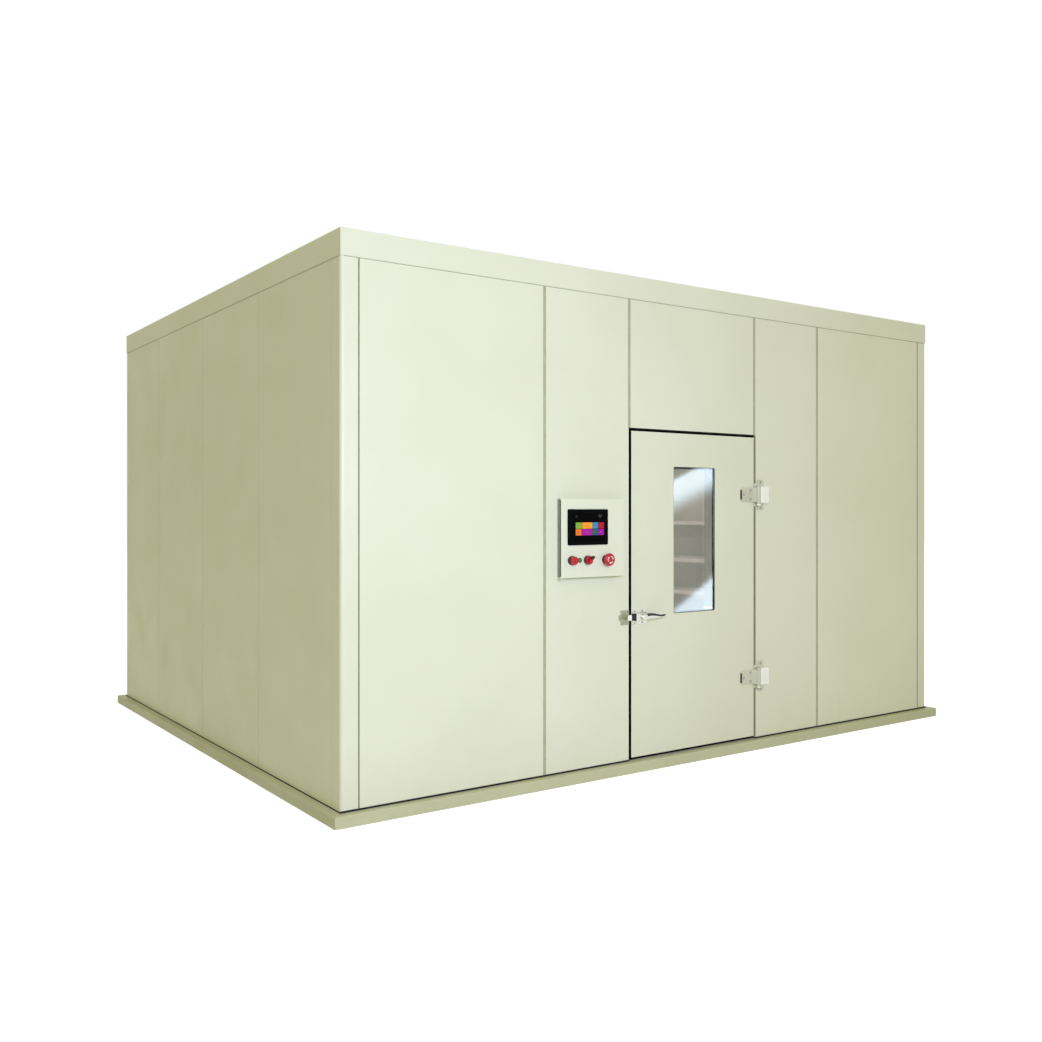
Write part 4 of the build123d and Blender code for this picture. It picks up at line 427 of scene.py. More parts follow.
# %% Assign the finishes
FINISHES = {
    WALL_PAINT: ("floor_panels", "corner_posts", "front_wide_panels", "control_wall_panel", "header_panel",
                 "hinge_wall_panel", "side_wall_panels", "rear_wall_panels", "ceiling_panels"),
    BAND_PAINT: ("roof_fascia",),
    DOOR_PAINT: ("door_leaf",),
    SHADED_BASE_PAINT: ("base_frame",),
    BOX_PAINT: ("control_box_housing", "control_box_door"),
    FLOOR_STEEL: ("floor_plate",),
    SHEET_STEEL: ("threshold", "temperature_probe"),
    SEALS: ("wall_seals",),
    FRAME_PVC: ("door_frame",),
    GASKET: ("door_gasket", "control_box_gasket"),
    ANODISED: ("window_frame",),
    GLASS: ("window_panes",),
    HINGE_COAT: ("hinge_straps", "hinge_plates"),
    PIN_METAL: ("hinge_pins", "latch_spindle"),
    WHITE_PLASTIC: ("hinge_covers", "ceiling_lamp_base"),
    CHROME: ("latch_body", "latch_lever"),
    SATIN_NICKEL: ("latch_strike",),
    BLACK_NYLON_AND_SHADE: ("latch_bolt",),
    GREEN_KNOB: ("inside_handle",),
    SCREEN_CASE: ("screen_bezel",),
    SCREEN_GLASS: ("screen_glass",),
    BLACK_COLLAR: ("button_collars",),
    RED_CAP: ("stop_button", "selector_knob"),
    ARROW_HEAD: ("emergency_stop",),
    LAMP_LENS: ("run_lamp",),
    ZINC: ("mounting_plate", "unit_brackets"),
    GREY_MODULE: ("control_modules",),
    COOLER_COAT: ("cooler_casing", "drip_tray"),
    FIN_METAL: ("cooler_coil", "condenser_coil"),
    DRAIN_PVC: ("drain_pipe",),
    FAN_METAL: ("cooler_rotor_left", "cooler_rotor_right", "condenser_rotor"),
    GUARD_COAT: ("fan_guards",),
    MOTOR_COAT: ("fan_motors",),
    UNIT_COAT: ("condenser_housing",),
    COMPRESSOR_COAT: ("compressor",),
    COPPER: ("refrigerant_pipes",),
    OPAL: ("ceiling_lamp_shade",),
    RACK_COAT: ("rack_posts", "rack_shelves"),
}
for finish, names in FINISHES.items():
    for name in names:
        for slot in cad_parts[name].material_slots:
            slot.material = finish
bare = set(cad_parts) - {name for names in FINISHES.values() for name in names}
print("nodes dressed", sum(len(names) for names in FINISHES.values()), "left bare", sorted(bare))

# %% [markdown]
# ## Building small pieces
# Three builders make nearly every fitting: a turned form, as from a lathe, an extruded form,
# as from a die, and a tube along a path. They work in a bmesh, so many copies share an object.

# %% Turned, extruded and swept forms
def stand(at, facing, up=(0, 0, 1)):
    """Local z points along facing, local y along up."""
    z = Vector(facing).normalized()
    up = Vector(up) if abs(z.dot(Vector(up))) < 0.9 else Vector((0, 1, 0))
    x = up.cross(z).normalized()
    return Matrix.Translation(at) @ Matrix((x, z.cross(x), z)).transposed().to_4x4()


def turned(bm, profile, at, facing, steps=24, hollow=False):
    """Rings of (radius, height); a radius may be a function of the angle."""
    placed = stand(at, facing)
    angles = [2 * pi * i / steps for i in range(steps)]
    rings = []
    for radius, height in profile:
        reach = radius if callable(radius) else (lambda angle, r=radius: r)
        rings.append([bm.verts.new(placed @ Vector((reach(a) * cos(a), reach(a) * sin(a), height)))
                      for a in angles])
    pairs = list(zip(rings, rings[1:])) + ([(rings[-1], rings[0])] if hollow else [])
    for low, high in pairs:
        for i in range(steps):
            j = (i + 1) % steps
            bm.faces.new((low[i], low[j], high[j], high[i]))
    if not hollow:
        bm.faces.new(rings[-1])
        bm.faces.new(rings[0][::-1])


def extruded(bm, outline, at, facing, depth, up=(0, 0, 1), edge=0.0):
    """A flat outline raised by depth; edge is the chamfer round its front."""
    placed = stand(at, facing, up)
    middle = Vector((sum(p[0] for p in outline), sum(p[1] for p in outline))) / len(outline)
    levels = [(0.0, 0.0), (depth - edge, 0.0)] + ([(depth, edge)] if edge else [])
    rings = []
    for height, inset in levels:
        ring = []
        for point in outline:
            flat = Vector(point)
            away = (flat - middle)
            flat -= away.normalized() * inset if away.length else away
            ring.append(bm.verts.new(placed @ Vector((flat.x, flat.y, height))))
        rings.append(ring)
    for low, high in zip(rings, rings[1:]):
        for i in range(len(outline)):
            j = (i + 1) % len(outline)
            bm.faces.new((low[i], low[j], high[j], high[i]))
    bm.faces.new(rings[-1])
    bm.faces.new(rings[0][::-1])


def swept(bm, points, radius, closed=False, steps=10):
    """A tube along the points, turned as little as possible from one ring to the next."""
    points = [Vector(p) for p in points]
    count = len(points)
    rings = []
    normal = None
    for i, point in enumerate(points):
        before = points[i - 1] if (closed or i) else point
        after = points[(i + 1) % count] if (closed or i < count - 1) else point
        run = (after - before).normalized()
        if normal is None:
            normal = run.orthogonal().normalized()
        normal = (normal - run * normal.dot(run)).normalized()
        side = run.cross(normal)
        rings.append([bm.verts.new(point + (normal * cos(a) + side * sin(a)) * radius)
                      for a in (2 * pi * k / steps for k in range(steps))])
    for low, high in list(zip(rings, rings[1:])) + ([(rings[-1], rings[0])] if closed else []):
        for k in range(steps):
            j = (k + 1) % steps
            bm.faces.new((low[k], low[j], high[j], high[k]))
    if not closed:
        bm.faces.new(rings[-1])
        bm.faces.new(rings[0][::-1])


# %% Outlines and the finished piece
def rounded(width, height, radius, steps=5):
    """A rectangle about its middle with round corners."""
    x, y = width / 2 - radius, height / 2 - radius
    corners = ((x, y, 0), (-x, y, 90), (-x, -y, 180), (x, -y, 270))
    turns = [(cx, cy, radians(start + 90 * i / steps)) for cx, cy, start in corners for i in range(steps + 1)]
    return [(cx + radius * cos(turn), cy + radius * sin(turn)) for cx, cy, turn in turns]


def add_piece(name, bm, material, body, soften=40):
    """Turns a bmesh into an object that rides on a body of the frame."""
    bmesh.ops.recalc_face_normals(bm, faces=bm.faces)
    mesh = bpy.data.meshes.new(name)
    bm.to_mesh(mesh)
    bm.free()
    for face in mesh.polygons:
        face.use_smooth = True
    mesh.set_sharp_from_angle(angle=radians(soften))
    mesh.materials.append(material)
    piece = bpy.data.objects.new(name, mesh)
    bpy.context.collection.objects.link(piece)
    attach(piece, body)
    print(name, len(mesh.polygons), "faces on", body)
    return piece


# %% [markdown]
# ## Screws
# The hinges, the latch and the strike are held by pan-head screws with a cross recess. A head
# is a turned form: flat underside, rounded rim, and a recess whose rings follow a cross.

# %% One screw head
def cross_recess(reach, half):
    def radius(angle):
        turn = (angle + pi / 4) % (pi / 2) - pi / 4
        return min(reach / abs(cos(turn)), half / max(abs(sin(turn)), 1e-6))
    return radius


def screw(bm, at, facing, radius):
    recess = cross_recess(radius * 0.55, radius * 0.14)
    turned(bm, [(radius, 0.0), (radius, radius * 0.22), (radius * 0.9, radius * 0.45),
                (radius * 0.66, radius * 0.58), (recess, radius * 0.6), (recess, radius * 0.2)],
           at, facing, steps=32)


# %% Where the door fittings sit
WALL_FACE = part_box("hinge_wall_panel")[0][1]
strap_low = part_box("hinge_straps")[0]
plate_low, plate_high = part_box("hinge_plates")
SHEET = 0.006
HALF_PLATE = 0.1
HINGE_ZS = (plate_low[2] + HALF_PLATE, plate_high[2] - HALF_PLATE)
OUT = (0, -1, 0)
HINGE_SCREW, LATCH_SCREW, SMALL_SCREW = 0.0075, 0.0055, 0.0050  # radii of the heads
print("wall face", round(WALL_FACE, 4), "hinges at z", [round(z, 3) for z in HINGE_ZS])

# %% Screws on the leaf's straps
STRAP_SCREWS = ((0.024, 0.0), (0.086, 0.028), (0.086, -0.028))  # in from the strap's end, and up
bm = bmesh.new()
for z in HINGE_ZS:
    for dx, dz in STRAP_SCREWS:
        screw(bm, (strap_low[0] + dx, WALL_FACE - SHEET, z + dz), OUT, HINGE_SCREW)
add_piece("strap_screws", bm, SCREW_METAL, "door")

# %% Screws on the frame plates
PLATE_SCREW_IN, PLATE_SCREW_RISE = 0.030, 0.084
bm = bmesh.new()
for z in HINGE_ZS:
    for dz in (PLATE_SCREW_RISE, -PLATE_SCREW_RISE):
        screw(bm, (plate_high[0] - PLATE_SCREW_IN, WALL_FACE - SHEET, z + dz), OUT, HINGE_SCREW)
add_piece("frame_plate_screws", bm, SCREW_METAL, "root")

# %% Screws on the latch and the strike
latch_low, latch_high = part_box("latch_body")
strike_low, strike_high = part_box("latch_strike")
LATCH_Z = (latch_low[2] + latch_high[2]) / 2
LATCH_SHEET = 0.005
LATCH_SCREW_RISE, STRIKE_SCREW_RISE = 0.035, 0.032
bm = bmesh.new()
for x in (latch_low[0] + 0.018, latch_high[0] - 0.034):
    for dz in (LATCH_SCREW_RISE, -LATCH_SCREW_RISE):
        screw(bm, (x, WALL_FACE - LATCH_SHEET, LATCH_Z + dz), OUT, LATCH_SCREW)
add_piece("latch_screws", bm, SCREW_METAL, "door")
bm = bmesh.new()
for x in (strike_high[0] - 0.014, strike_high[0] - 0.046):
    for dz in (STRIKE_SCREW_RISE, -STRIKE_SCREW_RISE):
        screw(bm, (x, WALL_FACE - LATCH_SHEET, LATCH_Z + dz), OUT, LATCH_SCREW)
screw(bm, (strike_low[0] + 0.010, WALL_FACE - LATCH_SHEET, LATCH_Z), OUT, SMALL_SCREW)
add_piece("strike_screws", bm, SCREW_METAL, "root")

# %% [markdown]
# ## The window's glazing gasket
# A black rubber channel lines the window's reveal and grips the pane. From the left it shows
# as the dark upright line along the right side of the glass.

# %% Glazing gasket
glass_low, glass_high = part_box("window_panes")
liner_low, liner_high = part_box("window_frame")
LINER = 0.008
PANE_SET = glass_low[1] - WALL_FACE
GASKET_THICK = 0.0018
win_w = liner_high[0] - liner_low[0]
WINDOW_X = (liner_low[0] + liner_high[0]) / 2
WINDOW_Z = (glass_low[2] + glass_high[2]) / 2


def reveal_ring(bm, width, height, corner, thick, y_front, y_back):
    """A band round the reveal: thick inward, from y_front back to y_back."""
    outer = rounded(width, height, corner)
    inner = rounded(width - 2 * thick, height - 2 * thick, max(corner - thick, 0.001))
    rows = [(outer, y_front), (outer, y_back), (inner, y_back), (inner, y_front)]
    rings = [[bm.verts.new((WINDOW_X + x, y, WINDOW_Z + z)) for x, z in points] for points, y in rows]
    for a, b in zip(rings, rings[1:] + rings[:1]):
        for i in range(len(a)):
            j = (i + 1) % len(a)
            bm.faces.new((a[i], a[j], b[j], b[i]))


print("liner", [round(v, 4) for v in liner_low], [round(v, 4) for v in liner_high])
print("panes", [round(v, 4) for v in glass_low], [round(v, 4) for v in glass_high])

# %% Both gaskets, front and back
REVEAL_CORNER, GASKET_SET_BACK, BACK_GASKET = 0.002, 0.0015, 0.005
bm = bmesh.new()
opening_w, opening_h = win_w - 2 * LINER, liner_high[2] - liner_low[2] - 2 * LINER
BACK_PANE = glass_high[1]
reveal_ring(bm, opening_w, opening_h, REVEAL_CORNER, GASKET_THICK,
            WALL_FACE + GASKET_SET_BACK, WALL_FACE + PANE_SET)
reveal_ring(bm, opening_w, opening_h, REVEAL_CORNER, GASKET_THICK, BACK_PANE, BACK_PANE + BACK_GASKET)
add_piece("glazing_gasket", bm, GASKET, "door")

# %% [markdown]
# ## Seals round the door and at the foot of the walls
# A black rubber profile is pressed on the leaf's free edges and nearly fills the gap, which
# gives the door its sharp black outline. It stays narrow enough to pass the wall panels when
# the leaf swings. A rubber lip also closes the joint between the walls and the base.

# %% Rubber on the leaf's edges
THIN_EDGE = 0.0003  # rounding of the trims that are under a millimetre thick
leaf_low, leaf_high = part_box("door_leaf")


def bar(bm, low, high, edge=0.0008):
    """A straight profile between two corners with its long edges taken off."""
    made = bmesh.ops.create_cube(bm, size=1.0)["verts"]
    for vert in made:
        vert.co = Vector([a + (b - a) * (c + 0.5) for a, b, c in zip(low, high, vert.co)])
    edges = {e for vert in made for e in vert.link_edges}
    bmesh.ops.bevel(bm, geom=list(edges), offset=edge, segments=2, profile=0.5, affect="EDGES")


OLIVE_STRIP = moulding("olive_rubber_strip", "#85876A", "#7B7D60", 0.65, 4.0, 0.05)
DOOR_SEAL = moulding("black_epdm_edge_seal", "#050505", "#0A0A0A", 0.8, Specular_IOR_Level=0.05)
SEAL_FRONT, SEAL_BACK = WALL_FACE + 0.0005, WALL_FACE + 0.0280
FOOT_SEAL_BACK = WALL_FACE + 0.0035
LIP_REACH, LIP_PROUD, SEAL_REACH = 0.003, 0.0008, 0.009
LIP_FRONT = WALL_FACE - LIP_PROUD
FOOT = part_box("base_frame")[1][2]
seal_left, seal_right = leaf_low[0] - SEAL_REACH, leaf_high[0] - 0.002
seal_foot, seal_top = leaf_low[2] - SEAL_REACH, leaf_high[2] + SEAL_REACH
bm = bmesh.new()
bar(bm, (seal_left, SEAL_FRONT, seal_foot), (leaf_low[0], SEAL_BACK, seal_top))
bar(bm, (leaf_low[0], SEAL_FRONT, leaf_high[2]), (seal_right, SEAL_BACK, seal_top))
bar(bm, (leaf_low[0], SEAL_FRONT, seal_foot), (seal_right, FOOT_SEAL_BACK, leaf_low[2]))
bar(bm, (seal_left, LIP_FRONT, seal_foot), (leaf_low[0] + LIP_REACH, SEAL_FRONT, seal_top), THIN_EDGE)
bar(bm, (leaf_low[0], LIP_FRONT, leaf_high[2] - LIP_REACH), (seal_right, SEAL_FRONT, seal_top), THIN_EDGE)
bar(bm, (leaf_low[0], LIP_FRONT, seal_foot), (seal_right, SEAL_FRONT, leaf_low[2] + LIP_REACH), THIN_EDGE)
add_piece("leaf_edge_seal", bm, DOOR_SEAL, "door")
print("leaf", [round(v, 4) for v in leaf_low], [round(v, 4) for v in leaf_high])

# %% Rubber on the wall beside the free edge, and a strip beside the hinges
EDGE_LAP = 0.0005  # how far a trim reaches past the edge of its panel
TRIM_BACK = WALL_FACE + 0.010
HINGE_STRIP, HINGE_STRIP_LAP, HINGE_CLEAR = 0.012, 0.003, 0.075
wall_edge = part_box("hinge_wall_panel")[0][0]
header_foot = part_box("header_panel")[0][2]
lip_top = header_foot + LIP_REACH
bm = bmesh.new()
bar(bm, (-wall_edge - LIP_REACH, LIP_FRONT, FOOT), (-wall_edge + EDGE_LAP, TRIM_BACK, lip_top), THIN_EDGE)
bar(bm, (-wall_edge, LIP_FRONT, header_foot - EDGE_LAP), (wall_edge, TRIM_BACK, lip_top), THIN_EDGE)
add_piece("opening_edge_seal", bm, DOOR_SEAL, "root")
stops = [FOOT] + [z + side * HINGE_CLEAR for z in sorted(HINGE_ZS) for side in (-1, 1)] + [header_foot]
bm = bmesh.new()
for low, high in zip(stops[::2], stops[1::2]):
    bar(bm, (wall_edge - HINGE_STRIP_LAP, LIP_FRONT, low),
        (wall_edge + HINGE_STRIP, TRIM_BACK, high), THIN_EDGE)
add_piece("hinge_side_strip", bm, OLIVE_STRIP, "root")
print("door opening from", round(-wall_edge, 4), "to", round(wall_edge, 4))

# %% Lip at the foot of the walls
LIP, FRONT_LIP_HEIGHT, SIDE_LIP_HEIGHT = 0.0025, 0.010, 0.006
walls_low, walls_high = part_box("corner_posts")
x0, x1, y0, y1 = walls_low[0], walls_high[0], walls_low[1], walls_high[1]
lip_end = wall_edge - EDGE_LAP
bm = bmesh.new()
bar(bm, (x0 - LIP, y0 - LIP, FOOT), (-lip_end, y0, FOOT + FRONT_LIP_HEIGHT))
bar(bm, (lip_end, y0 - LIP, FOOT), (x1 + LIP, y0, FOOT + FRONT_LIP_HEIGHT))
bar(bm, (x0 - LIP, y0, FOOT), (x0, y1 + LIP, FOOT + SIDE_LIP_HEIGHT))
bar(bm, (x1, y0, FOOT), (x1 + LIP, y1 + LIP, FOOT + SIDE_LIP_HEIGHT))
bar(bm, (x0, y1, FOOT), (x1, y1 + LIP, FOOT + SIDE_LIP_HEIGHT))
add_piece("wall_foot_lip", bm, GASKET, "root")

# %% [markdown]
# ## Mastic in the front seams
# The fitter runs a bead of grey-green mastic down every seam and wipes it nearly flush. The
# bead is 20 mm wide and half a millimetre proud, and it draws the soft lines on the front. The
# joints next to the corners are narrower and darker, and the one under the roof band is thin.

# %% Mastic beads
BEAD = moulding("grey_green_seam_mastic", "#B5B79E", "#ABAD94", 0.6, 6.0, 0.1)
BEAD_HALF, CORNER_HALF = 0.0100, 0.0040
BEAD_PROUD, BEAD_SINK = 0.0006, 0.001
SEAM_MIN, SEAM_MAX = 0.0015, 0.0050  # widths that count as a seam between two panels
CORNER_ZONE, CORNER_POST = 0.060, 0.30
DOOR_SEAM_NEAR = 0.01
FRONT_BEAD_CLEAR, SIDE_BEAD_CLEAR = 0.001, 0.001  # above the lip at the foot
BAND_BEAD_INSET, BAND_BEAD_BELOW, BAND_BEAD_ABOVE = 0.018, 0.0025, 0.0015


def find_seams(axis, plane_axis, side):
    """Middle of each seam on one outer side, read from the mastic between the panels."""
    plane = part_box("wall_seals")[side][plane_axis]
    values = sorted({round(v.co[axis], 4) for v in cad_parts["wall_seals"].data.vertices
                     if abs(v.co[plane_axis] - plane) < 0.001})
    return [round((a + b) / 2, 4) for a, b in zip(values, values[1:]) if SEAM_MIN < b - a < SEAM_MAX]


front_seams = find_seams(0, 1, 0)
WALL_TOP = walls_high[2]
front_foot = FOOT + FRONT_LIP_HEIGHT + FRONT_BEAD_CLEAR
side_foot = FOOT + SIDE_LIP_HEIGHT + SIDE_BEAD_CLEAR
bead_top = WALL_TOP - BEAD_SINK
bm = bmesh.new()
narrow = bmesh.new()
for x in [seam for seam in front_seams if x0 + CORNER_ZONE < seam < x1 - CORNER_ZONE]:
    foot = header_foot if abs(abs(x) - wall_edge) < DOOR_SEAM_NEAR else front_foot
    beside_corner = x < x0 + CORNER_POST or x > x1 - CORNER_POST
    half = CORNER_HALF if beside_corner else BEAD_HALF
    bar(narrow if beside_corner else bm, (x - half, WALL_FACE - BEAD_PROUD, foot),
        (x + half, WALL_FACE + BEAD_SINK, bead_top), THIN_EDGE)
for x in find_seams(0, 1, 1):
    bar(narrow, (x - CORNER_HALF, y1 - BEAD_SINK, side_foot),
        (x + CORNER_HALF, y1 + BEAD_PROUD, bead_top), THIN_EDGE)
for y in find_seams(1, 0, 1):
    bar(narrow, (x1 - BEAD_SINK, y - CORNER_HALF, side_foot),
        (x1 + BEAD_PROUD, y + CORNER_HALF, bead_top), THIN_EDGE)
band_low, band_high = WALL_TOP - BAND_BEAD_BELOW, WALL_TOP + BAND_BEAD_ABOVE
bar(bm, (x0 + BAND_BEAD_INSET, y0 - BEAD_PROUD, band_low),
    (x1 - BAND_BEAD_INSET, y0 + BEAD_SINK, band_high), THIN_EDGE)
bar(bm, (x0 - BEAD_PROUD, y0 + BAND_BEAD_INSET, band_low),
    (x0 + BEAD_SINK, y1 - BAND_BEAD_INSET, band_high), THIN_EDGE)
add_piece("seam_mastic_beads", bm, BEAD, "root")
add_piece("corner_seam_beads", narrow, OLIVE_STRIP, "root")
print("front seams", front_seams, "wall top", round(WALL_TOP, 4))

# %% [markdown]
# ## Latch and strike facings
# The strike's hook carries a white nylon facing that the bolt's nose slides on. A black strip along the swell
# of the lever's upper edge is painted shade for the lever's dark top.

# %% Nylon facing, and painted shade along the lever's top
FACING, FACING_ROUND, FACING_THICK, FACING_IN = (0.030, 0.032), 0.003, 0.0015, 0.016
bm = bmesh.new()
extruded(bm, rounded(*FACING, FACING_ROUND), (strike_high[0] - FACING_IN, strike_low[1], LATCH_Z), OUT,
         FACING_THICK, edge=0.0005)
add_piece("strike_nylon_face", bm, WHITE_PLASTIC, "root")
lever_low, lever_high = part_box("latch_lever")
PAD_STEP, PAD_PROUD = 0.006, 0.0006
PAD_HIGH, PAD_LOW = 0.0150, 0.0080
lever_points = [v.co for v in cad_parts["latch_lever"].data.vertices]
PAD_START, PAD_END = lever_low[0] + 0.036, lever_high[0] - 0.010
upper, lower = [], []
PAD_STEPS = int((PAD_END - PAD_START) / PAD_STEP)
for step in range(PAD_STEPS + 1):
    x = PAD_START + step * PAD_STEP
    top = max(p.z for p in lever_points if abs(p.x - x) < PAD_STEP)
    upper.append((x, top + PAD_PROUD))
    lower.append((x, top - PAD_HIGH + (PAD_HIGH - PAD_LOW) * step / PAD_STEPS))
bm = bmesh.new()
pad = [(x - PAD_START, z - LATCH_Z) for x, z in upper + lower[::-1]]
extruded(bm, pad, (PAD_START, lever_high[1], LATCH_Z), OUT, lever_high[1] - lever_low[1] + PAD_PROUD)
add_piece("lever_top_painted_shade", bm, BLACK_NYLON_AND_SHADE, "latch_handle")
print("lever", [round(v, 4) for v in lever_low], [round(v, 4) for v in lever_high], "pad steps", len(upper))

# %% [markdown]
# ## Rubber round the control box
# The box's rim on the wall and the back edge of its door both carry black rubber over their side faces, which
# is painted shade for those faces. Together with the gap between them they draw the dark line round the box.

# %% Black rubber on the rim and on the box door, as painted shade
TRIM_PROUD = 0.0006
rim_low, rim_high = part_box("control_box_housing")
lid_low, lid_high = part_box("control_box_door")


def edge_trim(bm, low, high, y_front, y_back, inset):
    """Four bars round a box's edge, 1 mm deep into it; inset shortens the upright ones."""
    skin = 0.001
    for side, out in ((low, -1), (high, 1)):
        x_pair = sorted((side[0] + out * TRIM_PROUD, side[0] - out * skin))
        z_pair = sorted((side[2] + out * TRIM_PROUD, side[2] - out * skin))
        bar(bm, (x_pair[0], y_front, low[2] + inset), (x_pair[1], y_back, high[2] - inset), 0.0002)
        bar(bm, (low[0] + inset, y_front, z_pair[0]), (high[0] - inset, y_back, z_pair[1]), 0.0002)


RIM_TRIM, LID_TRIM = (0.0202, 0.0140), (0.0080, 0.0004)  # front and back of each profile
bm = bmesh.new()
edge_trim(bm, (rim_low[0], 0, lid_low[2]), (rim_high[0], 0, lid_high[2]),
          WALL_FACE - RIM_TRIM[0], WALL_FACE - RIM_TRIM[1], 0.004)
add_piece("box_rim_painted_shade", bm, GASKET, "root")
bm = bmesh.new()
edge_trim(bm, lid_low, lid_high, lid_high[1] - LID_TRIM[0], lid_high[1] + LID_TRIM[1], 0.008)
add_piece("box_door_painted_shade", bm, GASKET, "box_door")

# %% [markdown]
# ## Ends of the hinge straps
# Each strap ends in a black nylon strip, which is painted shade for the strap's shaded end.

# %% Strap end strips of painted shade
STRIP, STRIP_PROUD, STRIP_SHORT = 0.009, 0.0006, 0.004
HINGE_HALF = 0.12  # vertices this near a hinge's middle belong to its strap
strap_points = [v.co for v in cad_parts["hinge_straps"].data.vertices]
bm = bmesh.new()
for z in HINGE_ZS:
    end = [p for p in strap_points if p.x < strap_low[0] + STRIP and abs(p.z - z) < HINGE_HALF]
    low_z, high_z = min(p.z for p in end), max(p.z for p in end)
    bar(bm, (strap_low[0] - STRIP_PROUD, min(p.y for p in end) - STRIP_PROUD, low_z + STRIP_SHORT),
        (strap_low[0] + STRIP, WALL_FACE, high_z - STRIP_SHORT), 0.0004)
add_piece("strap_end_strips", bm, BLACK_NYLON_AND_SHADE, "door")

# %% [markdown]
# ## Selector grip
# The selector's bar is sheathed in black nylon, from the knob's middle to the bar's upper end.

# %% Sheath over the bar
GRIP_LENGTH, GRIP_WIDTH, GRIP_DEPTH, SHEATH = 0.062, 0.012, 0.018, 0.0005
SHEATH_FOOT, GRIP_LEAN = 0.004, pi / 4
knob_low, knob_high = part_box("selector_knob")
knob_x, knob_z = (knob_low[0] + knob_high[0]) / 2, (knob_low[2] + knob_high[2]) / 2
sheath_top = GRIP_LENGTH / 2 + SHEATH
half = GRIP_WIDTH / 2 + SHEATH
outline = [(-half, SHEATH_FOOT), (half, SHEATH_FOOT)] + [
    (half * cos(t), sheath_top - half + half * sin(t)) for t in (i * pi / 8 for i in range(9))]
bm = bmesh.new()
extruded(bm, outline, (knob_x, knob_low[1] + GRIP_DEPTH, knob_z), OUT, GRIP_DEPTH + SHEATH,
         up=(sin(GRIP_LEAN), 0, cos(GRIP_LEAN)), edge=0.0015)
add_piece("selector_sheath", bm, BLACK_NYLON_AND_SHADE, "selector")

# %% [markdown]
# ## The touch screen's picture
# The lit screen shows plain coloured tiles with simple signs: bars, a ring and lines. Each
# tile is a thin rounded plate on the cover glass, and its colour is an emission, since a
# screen gives its own light. No words are drawn.

# %% Lit colours
def lit(name, colour):
    """Screen light: the glow varies a little, as the backlight does."""
    material, tree, shader, where = start_material(name, colour, 0.5, Emission_Strength=0.15,
                                                   Specular_IOR_Level=0.1)
    mix = uneven_colour(tree, shader, where, colour, colour, 60)
    shade = add_node(tree, "ShaderNodeTexNoise", {"Scale": 40.0}, {"Vector": where})
    glow = add_node(tree, "ShaderNodeMix", {"data_type": "RGBA", "blend_type": "MULTIPLY", 0: 0.25},
                    {6: mix.outputs[2], 7: shade.outputs[1]})
    tree.links.new(glow.outputs[2], shader.inputs["Emission Color"])
    return material


TILE_COLOURS = {"green": "#7FA83C", "amber": "#F29A2E", "blue": "#2C8FC4", "crimson": "#A32133",
                "magenta": "#A8239A", "teal": "#23685E", "violet": "#9A1FA0", "orange": "#E5762A"}
LIT = {name: lit("screen_light_" + name, colour) for name, colour in TILE_COLOURS.items()}
SIGN_LIGHT = lit("screen_light_white", "#6A6A6C")
print("screen colours", len(LIT))

# %% Tiles
# Each tile is its colour, its left edge, its width and its row.
TILES = (("green", 0.0, 0.047, 0), ("amber", 0.047, 0.077, 0),
         ("blue", 0.124, 0.040, 0), ("crimson", 0.164, 0.046, 0),
         ("orange", 0.0, 0.044, 1), ("magenta", 0.044, 0.080, 1),
         ("teal", 0.124, 0.038, 1), ("violet", 0.162, 0.048, 1))
ROW, TILE_GAP, TILE_ROUND = 0.038, 0.0025, 0.0015
TILE_THICK, SIGN_THICK = 0.0003, 0.0002
screen_low, screen_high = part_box("screen_glass")
TILE_FACE = screen_low[1]
TILE_LEFT, TILE_TOP = screen_low[0] + 0.031, screen_high[2] - 0.055
signs = bmesh.new()
for index, (colour, start, width, row) in enumerate(TILES):
    x = TILE_LEFT + start + width / 2
    z = TILE_TOP - ROW * (row + 0.5)
    bm = bmesh.new()
    extruded(bm, rounded(width - TILE_GAP, ROW - TILE_GAP, TILE_ROUND), (x, TILE_FACE, z), OUT, TILE_THICK)
    add_piece("screen_tile_" + colour, bm, LIT[colour], "box_door")
    for mark in range(1 + index % 3):
        extruded(signs, rounded(0.003, 0.006 + 0.003 * mark, 0.001),
                 (x - 0.005 + 0.005 * mark, TILE_FACE - TILE_THICK, z), OUT, SIGN_THICK)

# %% Signs over the tiles
LINES_X, LINES_DOWN, LINES_PITCH = TILE_LEFT + 0.180, 0.014, 0.007
RING_X, RING_Z, RING_R = TILE_LEFT + 0.008, screen_high[2] - 0.022, 0.006
for row in range(3):
    extruded(signs, rounded(0.030 - 0.008 * row, 0.0018, 0.0006),
             (LINES_X, TILE_FACE, screen_high[2] - LINES_DOWN - LINES_PITCH * row), OUT, TILE_THICK)
ring = [(RING_X + RING_R * cos(a), TILE_FACE, RING_Z + RING_R * sin(a))
        for a in (2 * pi * i / 24 for i in range(24))]
swept(signs, ring, 0.0006, closed=True, steps=6)
add_piece("screen_signs", signs, SIGN_LIGHT, "box_door")

# %% [markdown]
# ## Inside the control box
# The modules on the rail have screw terminals along their upper and lower ends and small
# lamps on their faces. Short stranded leads run from the modules to the terminal strip.

